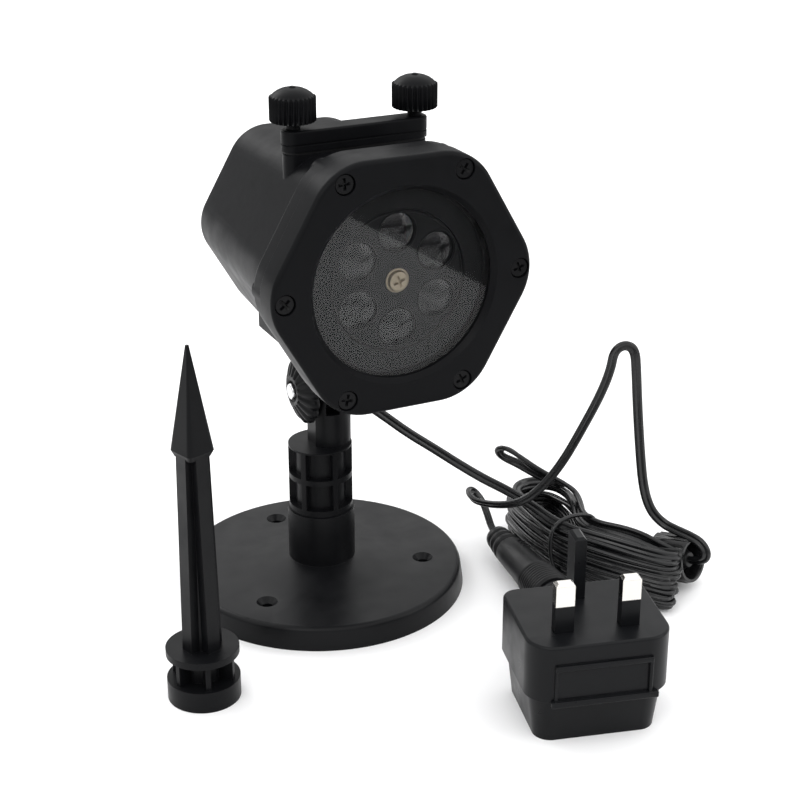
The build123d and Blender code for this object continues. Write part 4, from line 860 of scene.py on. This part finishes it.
@dataclass
class Coupling:
    """Coupling of the two leads: ribbed nut with an open mouth, plug and socket bodies."""

    centre: tuple[float, float, float] = (120.0, -61.0, 10.3)
    turn: float = -66.0
    rise: float = 11.0
    length: float = 17.0
    radius: float = 9.1
    ribs: int = 14

    def line(self) -> Matrix:
        """Matrix from the Z axis to the coupling's line, towards its open mouth."""
        rise, turn = math.radians(self.rise), math.radians(self.turn)
        flat = math.cos(rise)
        ahead = Vector((flat * math.cos(turn), flat * math.sin(turn), math.sin(rise)))
        end = tuple(Vector(self.centre) + ahead)
        return along_line(self.centre, end)

    def build(self) -> None:
        """Makes the ring, the plug in it and the socket behind it."""
        line = self.line()
        half, r = self.length / 2, self.radius
        profile = [(-half, 5.2), (-half, 7.2), (-half + 1.0, 8.2), (-half + 1.8, r)]
        profile += [(half - 1.6, r), (half - 0.9, 8.8), (half, 8.5), (half, 7.4), (half - 1, 6.9)]
        profile += [(-half, 6.2), (-half, 5.2)]
        bm = turned(profile, self.ribs * 10)
        flute(bm, self.ribs, 0.8, 8.6, 4.0, low=-half + 1.4, high=half - 1.2)
        bmesh.ops.transform(bm, matrix=line, verts=bm.verts)
        place(
            "coupling_ring", smooth_copy(bm, "coupling_ring", 45), NUT, "stand",
            ("coupling_nut",),
        )
        plug = [(-0.9, 0), (-0.9, 6.1), (2.6, 6.1), (3.1, 5.6), (3.6, 4.3), (5.6, 3.4), (7.0, 2.8)]
        self.body("link_plug_body", plug + [(7.0, 0)], line, "link_plug")
        socket = [(-17.2, 0), (-17.2, 2.3), (-15.8, 3.1), (-15.0, 3.1), (-14.6, 2.7), (-13.8, 2.8)]
        socket += [(-13.4, 3.6), (-12.4, 3.7), (-12.0, 3.2), (-11.2, 3.3), (-10.8, 4.3)]
        socket += [(-9.4, 4.7), (-9.0, 6.1), (-1.3, 6.1), (-1.3, 0)]
        self.body("lamp_socket_body", socket, line, "lamp_socket")

    def body(
        self, name: str, profile: list[tuple[float, float]], line: Matrix, node: str
    ) -> None:
        """Makes one turned body of the coupling.

        Args:
            name: Name of the piece.
            profile: Its outline, (along, radius) in mm.
            line: Matrix from the Z axis to the coupling's line.
            node: CAD node that it replaces.
        """
        bm = turned(profile, 48)
        soften(bm, 0.18, 28)
        bmesh.ops.transform(bm, matrix=line, verts=bm.verts)
        place(name, smooth_copy(bm, name), CONNECTOR, "stand", (node,))


# ============================================================================== head and stand
@dataclass
class ThumbScrews:
    """The two fluted thumb screws on the slot's cover."""

    spacing: float = 43.6
    line_y: float = -34.5
    cover_top: float = 186.8
    flutes: int = 28

    def build(self) -> None:
        """Makes both screws."""
        profile = [(-13.5, 0), (-13.5, 1.6), (-13.1, 1.9), (0.0, 1.9), (0.0, 2.4), (2.2, 2.4)]
        profile += [(2.4, 6.2), (2.6, 7.2), (3.0, 7.65), (10.6, 7.65), (10.8, 7.45), (10.9, 6.9)]
        profile += [(11.6, 6.3), (12.4, 5.2), (13.1, 3.7), (13.45, 2.3), (13.5, 1.2)]
        profile += [(13.75, 1.1), (13.9, 0.8), (13.9, 0)]
        for side, x in (("left", -self.spacing / 2), ("right", self.spacing / 2)):
            bm = turned(profile, self.flutes * 8)
            flute(bm, self.flutes, 0.85, 7.0, 0.8, low=2.5, high=10.85)
            shift = Matrix.Translation(Vector((x, self.line_y, self.cover_top)) * MM)
            bmesh.ops.transform(bm, matrix=shift, verts=bm.verts)
            name = f"{side}_thumb_head"
            place(
                name, smooth_copy(bm, name, 48), HOUSING, f"{side}_thumb",
                (f"{side}_thumb_screw",),
            )


@dataclass
class CrossScrews:
    """Screw heads with a cross recess, each turned a little differently."""

    name: str
    spots: list[tuple[float, float]]
    front_y: float
    radius: float
    height: float
    finish: Finish
    body: str
    slot: Slot
    node: str
    arm: float = 2.1
    arm_width: float = 0.62
    recess: float = 1.0
    axis_z: float = 142.0

    def head(self, turn: float) -> bmesh.types.BMesh:
        """Makes one head that faces +Z, its top at the origin.

        Args:
            turn: Turn of the cross, in degrees.

        Returns:
            The mesh.
        """
        bm = bmesh.new()
        long, wide = self.arm * MM, self.arm_width * MM / 2 * 1.6
        corner = [(long, -wide), (long, wide), (wide, wide)]
        outline = []
        for k in range(4):
            quarter = Matrix.Rotation(math.radians(90 * k + turn), 3, "Z")
            outline += [bm.verts.new(quarter @ Vector((x, y, 0))) for x, y in corner]
        cross = [bm.edges.new((a, b)) for a, b in zip(outline, outline[1:] + outline[:1])]
        round_verts = bmesh.ops.create_circle(bm, segments=36, radius=0.9 * self.radius * MM)
        rim = list({e for v in round_verts["verts"] for e in v.link_edges})
        bmesh.ops.triangle_fill(bm, edges=cross + rim, use_beauty=True)
        for scale, drop in ((1.08, 0.18), (1.0 / 0.9 / 1.08, 0.32), (1.0, self.height - 0.5)):
            made = bmesh.ops.extrude_edge_only(bm, edges=rim)["geom"]
            rim = [g for g in made if isinstance(g, bmesh.types.BMEdge)]
            verts = list({v for e in rim for v in e.verts})
            bmesh.ops.scale(bm, vec=(scale, scale, 1), verts=verts)
            bmesh.ops.translate(bm, vec=(0, 0, -drop * MM), verts=verts)
        made = bmesh.ops.extrude_edge_only(bm, edges=cross)["geom"]
        floor = [g for g in made if isinstance(g, bmesh.types.BMEdge)]
        verts = list({v for e in floor for v in e.verts})
        bmesh.ops.scale(bm, vec=(0.62, 0.62, 1), verts=verts)
        bmesh.ops.translate(bm, vec=(0, 0, -self.recess * MM), verts=verts)
        bmesh.ops.holes_fill(bm, edges=floor)
        bmesh.ops.holes_fill(bm, edges=rim)
        bmesh.ops.recalc_face_normals(bm, faces=bm.faces)
        return bm

    def build(self) -> None:
        """Makes every head as one piece."""
        whole = bmesh.new()
        for k, (x, z) in enumerate(self.spots):
            bm = self.head(20.0 + 37.0 * k)
            spot = Vector((x, self.front_y, self.axis_z + z)) * MM
            turn = Matrix.Rotation(math.pi / 2, 4, "X")
            bmesh.ops.transform(bm, matrix=Matrix.Translation(spot) @ turn, verts=bm.verts)
            mesh = bpy.data.meshes.new("head")
            bm.to_mesh(mesh)
            bm.free()
            whole.from_mesh(mesh)
            bpy.data.meshes.remove(mesh)
        place(
            self.name, smooth_copy(whole, self.name, 24), self.finish, self.body,
            (self.node,),
        )


@dataclass
class LockingKnob:
    """The scalloped knob on the hinge bolt, with its countersunk ring and washer."""

    hinge_z: float = 80.0
    inner_x: float = -4.3
    outer_x: float = -10.7
    radius: float = 12.8
    scallops: int = 16

    def build(self) -> None:
        """Makes the knob on the hinge's line, facing -X."""
        deep = self.inner_x - self.outer_x
        profile = [(0.0, 2.0), (0.0, 11.2), (0.5, 12.3), (1.0, self.radius), (2.4, self.radius)]
        profile += [(3.0, 12.3), (3.8, 11.2), (4.6, 9.8), (5.4, 8.1), (6.0, 6.6), (deep, 5.6)]
        profile += [(deep, 4.2), (deep - 0.4, 3.8), (deep - 1.2, 3.4), (deep - 1.2, 2.0)]
        profile += [(0.0, 2.0)]
        bm = turned(profile, self.scallops * 12)
        flute(bm, self.scallops, 1.1, 6.0, 1.4)
        line = along_line((self.inner_x, 0, self.hinge_z), (self.outer_x, 0, self.hinge_z))
        bmesh.ops.transform(bm, matrix=line, verts=bm.verts)
        place(
            "scalloped_knob", smooth_copy(bm, "scalloped_knob", 50), STAND, "knob",
            ("locking_knob",),
        )


@dataclass
class StrainRelief:
    """The ribbed relief where the lead leaves the head."""

    x: float = 12.4
    y: float = 12.4
    top: float = 101.5

    def build(self) -> None:
        """Makes the tapering relief with its ribs."""
        profile = [(2.0, 0), (2.0, 2.5), (0.0, 2.6), (0.0, 3.4), (-1.6, 3.4), (-2.0, 2.8)]
        for k in range(5):
            z = -3.0 - 2.1 * k
            r = 3.2 - 0.16 * k
            profile += [(z + 0.2, r - 0.7), (z - 0.1, r), (z - 1.2, r - 0.05), (z - 1.4, r - 0.75)]
        profile += [(-13.9, 2.1), (-14.0, 0)]
        bm = turned(profile, 40)
        bmesh.ops.transform(
            bm, matrix=Matrix.Translation(Vector((self.x, self.y, self.top)) * MM), verts=bm.verts
        )
        place(
            "lead_relief", smooth_copy(bm, "lead_relief", 40), CONNECTOR, "head",
            ("cord_gland",),
        )


@dataclass
class WheelTrim:
    """Fine rings on the lens wheel: its rim, one round each lens and the screw's washer."""

    front_y: float = -66.4
    axis_z: float = 142.0
    lens_circle: float = 16.2
    lens_radius: float = 6.5
    rim_radius: float = 23.1
    lenses: int = 6

    def ring(self, bm: bmesh.types.BMesh, x: float, z: float, radius: float, wire: float) -> None:
        """Adds a ring of round section that faces along Y.

        Args:
            bm: The mesh to add to.
            x: Its centre across, in mm.
            z: Its centre above the wheel's axis, in mm.
            radius: Its radius, in mm.
            wire: The radius of its section, in mm.
        """
        start = bmesh.ops.create_circle(bm, segments=8, radius=wire * MM)["verts"]
        bmesh.ops.rotate(bm, verts=start, matrix=Matrix.Rotation(math.pi / 2, 3, "X"))
        bmesh.ops.translate(bm, verts=start, vec=(radius * MM, 0, 0))
        edges = list({e for v in start for e in v.link_edges})
        made = bmesh.ops.spin(
            bm, geom=start + edges, cent=(0, 0, 0), axis=(0, 0, 1), angle=math.tau, steps=48,
            use_merge=True,
        )
        ring = {v for g in made["geom_last"] for v in (g.verts if hasattr(g, "verts") else [g])}
        todo, ring = list(ring | set(start)), set(start) | ring
        while todo:
            for e in todo.pop().link_edges:
                for v in e.verts:
                    if v not in ring:
                        ring.add(v)
                        todo.append(v)
        spot = Vector((x, self.front_y, self.axis_z + z)) * MM
        turn = Matrix.Rotation(math.pi / 2, 4, "X")
        bmesh.ops.transform(bm, matrix=Matrix.Translation(spot) @ turn, verts=list(ring))

    def build(self) -> None:
        """Makes the dark rings and the brass-tinted one."""
        bm = bmesh.new()
        self.ring(bm, 0, 0, self.rim_radius, 0.4)
        for k in range(self.lenses):
            turn = math.radians(30 + 60 * k)
            x, z = self.lens_circle * math.cos(turn), self.lens_circle * math.sin(turn)
            self.ring(bm, x, z, self.lens_radius + 0.25, 0.3)
        bmesh.ops.recalc_face_normals(bm, faces=bm.faces)
        place("wheel_rings", smooth_copy(bm, "wheel_rings", 80), WHEEL, "wheel")
        bm = bmesh.new()
        self.ring(bm, 0, 0, 3.75, 0.42)
        bmesh.ops.recalc_face_normals(bm, faces=bm.faces)
        place(
            "screw_ring", smooth_copy(bm, "screw_ring", 80), BRASS_TINT, "wheel",
        )


@dataclass
class AdapterTrim:
    """Raised lines of the adapter: the ledge at the split and the panel's round-edged frame."""

    origin: tuple[float, float] = (40.8, -129.8)
    turn: float = -14.2
    front: float = -10.9
    split_z: float = 16.5
    panel_top: float = 30.5
    panel_half: float = 16.5

    def bar(
        self, bm: bmesh.types.BMesh, x0: float, x1: float, z0: float, z1: float, proud: float
    ) -> None:
        """Adds a round-edged bar on the adapter's front.

        Args:
            bm: The mesh to add to.
            x0: Its left end, in mm.
            x1: Its right end, in mm.
            z0: Its lower edge, in mm.
            z1: Its upper edge, in mm.
            proud: How far it stands out of the front, in mm.
        """
        verts = bmesh.ops.create_cube(bm, size=1.0)["verts"]
        size = Matrix.Diagonal(((x1 - x0) * MM, (proud + 1.0) * MM, (z1 - z0) * MM, 1))
        y = self.front + 0.5 - proud / 2
        move = Matrix.Translation(Vector(((x0 + x1) / 2, y, (z0 + z1) / 2)) * MM)
        bmesh.ops.transform(bm, matrix=move @ size, verts=verts)

    def build(self) -> None:
        """Makes the ledge and the frame as one trim piece."""
        bm = bmesh.new()
        half = self.panel_half
        self.bar(bm, -half - 1.0, half + 2.2, self.split_z - 1.2, self.split_z + 1.0, 1.5)
        self.bar(bm, -half, half, self.panel_top - 1.9, self.panel_top, 1.2)
        self.bar(bm, half - 1.3, half, self.split_z, self.panel_top, 1.1)
        self.bar(bm, -half, -half + 0.9, self.split_z, self.panel_top - 2.0, 0.8)
        soften(bm, 0.42, 30, 3)
        at = Matrix.Translation((self.origin[0] * MM, self.origin[1] * MM, 0))
        bmesh.ops.transform(
            bm, matrix=at @ Matrix.Rotation(math.radians(self.turn), 4, "Z"), verts=bm.verts
        )
        place("adapter_trim", smooth_copy(bm, "adapter_trim", 40), ADAPTER, "stand")


# ============================================================================== CAD nodes
@dataclass
class CarriedNodes:
    """CAD nodes whose shape stays, each with its finish and smooth shading."""

    finishes: dict[str, Finish]
    crease: float = 28.0

    def build(self) -> None:
        """Dresses every node of the frame."""
        for name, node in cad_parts.items():
            finish = self.finishes[name]
            node.data.materials.clear()
            node.data.materials.append(finish.material())
            for face in node.data.polygons:
                face.use_smooth = True
                face.material_index = 0
            weld = node.modifiers.new("Weld", "WELD")
            weld.merge_threshold = 2e-6
            split = node.modifiers.new("Crease", "EDGE_SPLIT")
            split.split_angle = math.radians(self.crease)
        LOG.info("dressed %d CAD nodes", len(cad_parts))


NODE_FINISHES = {
    HOUSING: ("rear_housing", "front_bezel", "hinge_lug", "slide_cover", "left_thumb_screw",
              "right_thumb_screw"),
    STAND: ("stand_arm", "locking_knob", "stake"),
    BASE: ("base_disc",),
    ADAPTER: ("adapter_top_case", "adapter_lower_case", "earth_pin", "output_stub",
              "pin_sleeves"),
    CONNECTOR: ("link_connector", "link_nut", "link_plug", "lamp_socket", "cord_gland"),
    NUT: ("coupling_nut",),
    JACKET: ("link_lead", "lamp_lead", "lamp_tail", "lead_hank", "hank_tie"),
    NICKEL: ("mains_pins",),
    BRIGHT_STEEL: ("hinge_bolt", "hinge_nut", "knob_washer", "wheel_screw"),
    BLACK_SCREW: ("bezel_screws", "lug_screws"),
    GLASS: ("window_glass",),
    SHADE_TINTED_LENS: ("wheel_lenses", "condenser_lenses"),
    RUBBER: ("window_seal", "slot_gasket"),
    MASK: ("inner_mask",),
    WHEEL: ("lens_wheel",),
    INNER: ("lens_carrier", "slide_guide", "pattern_slide"),
    FILM: ("pattern_film",),
    MOTOR: ("wheel_motor", "motor_bracket"),
    ALUMINIUM: ("heat_sink",),
    BOARD: ("led_board", "driver_board", "adapter_circuit"),
    LED: ("led_emitters",),
}


def main() -> None:
    """Builds the studio, the cords, every finer piece and the finishes."""
    Studio().build()
    flex = TwinFlex()
    HankTie().build()
    LinkConnector().build()
    Coupling().build()
    LampLead(flex, HankWinding()).build()
    LinkLead(flex).build()
    ThumbScrews().build()
    ring = [(41.5 * math.cos(k * math.pi / 3), 41.5 * math.sin(k * math.pi / 3)) for k in range(6)]
    CrossScrews(
        "bezel_screw_heads", ring, -72.4, 3.35, 1.6, BLACK_SCREW, "head", Slot.BLACK_STEEL,
        "bezel_screws",
    ).build()
    CrossScrews(
        "wheel_screw_head", [(0.0, 0.0)], -68.0, 3.3, 1.55, BRASS_TINT, "wheel",
        Slot.BRIGHT_STEEL, "wheel_screw",
    ).build()
    LockingKnob().build()
    StrainRelief().build()
    WheelTrim().build()
    AdapterTrim().build()
    CarriedNodes({node: f for f, nodes in NODE_FINISHES.items() for node in nodes}).build()


if __name__ == "__main__":
    main()
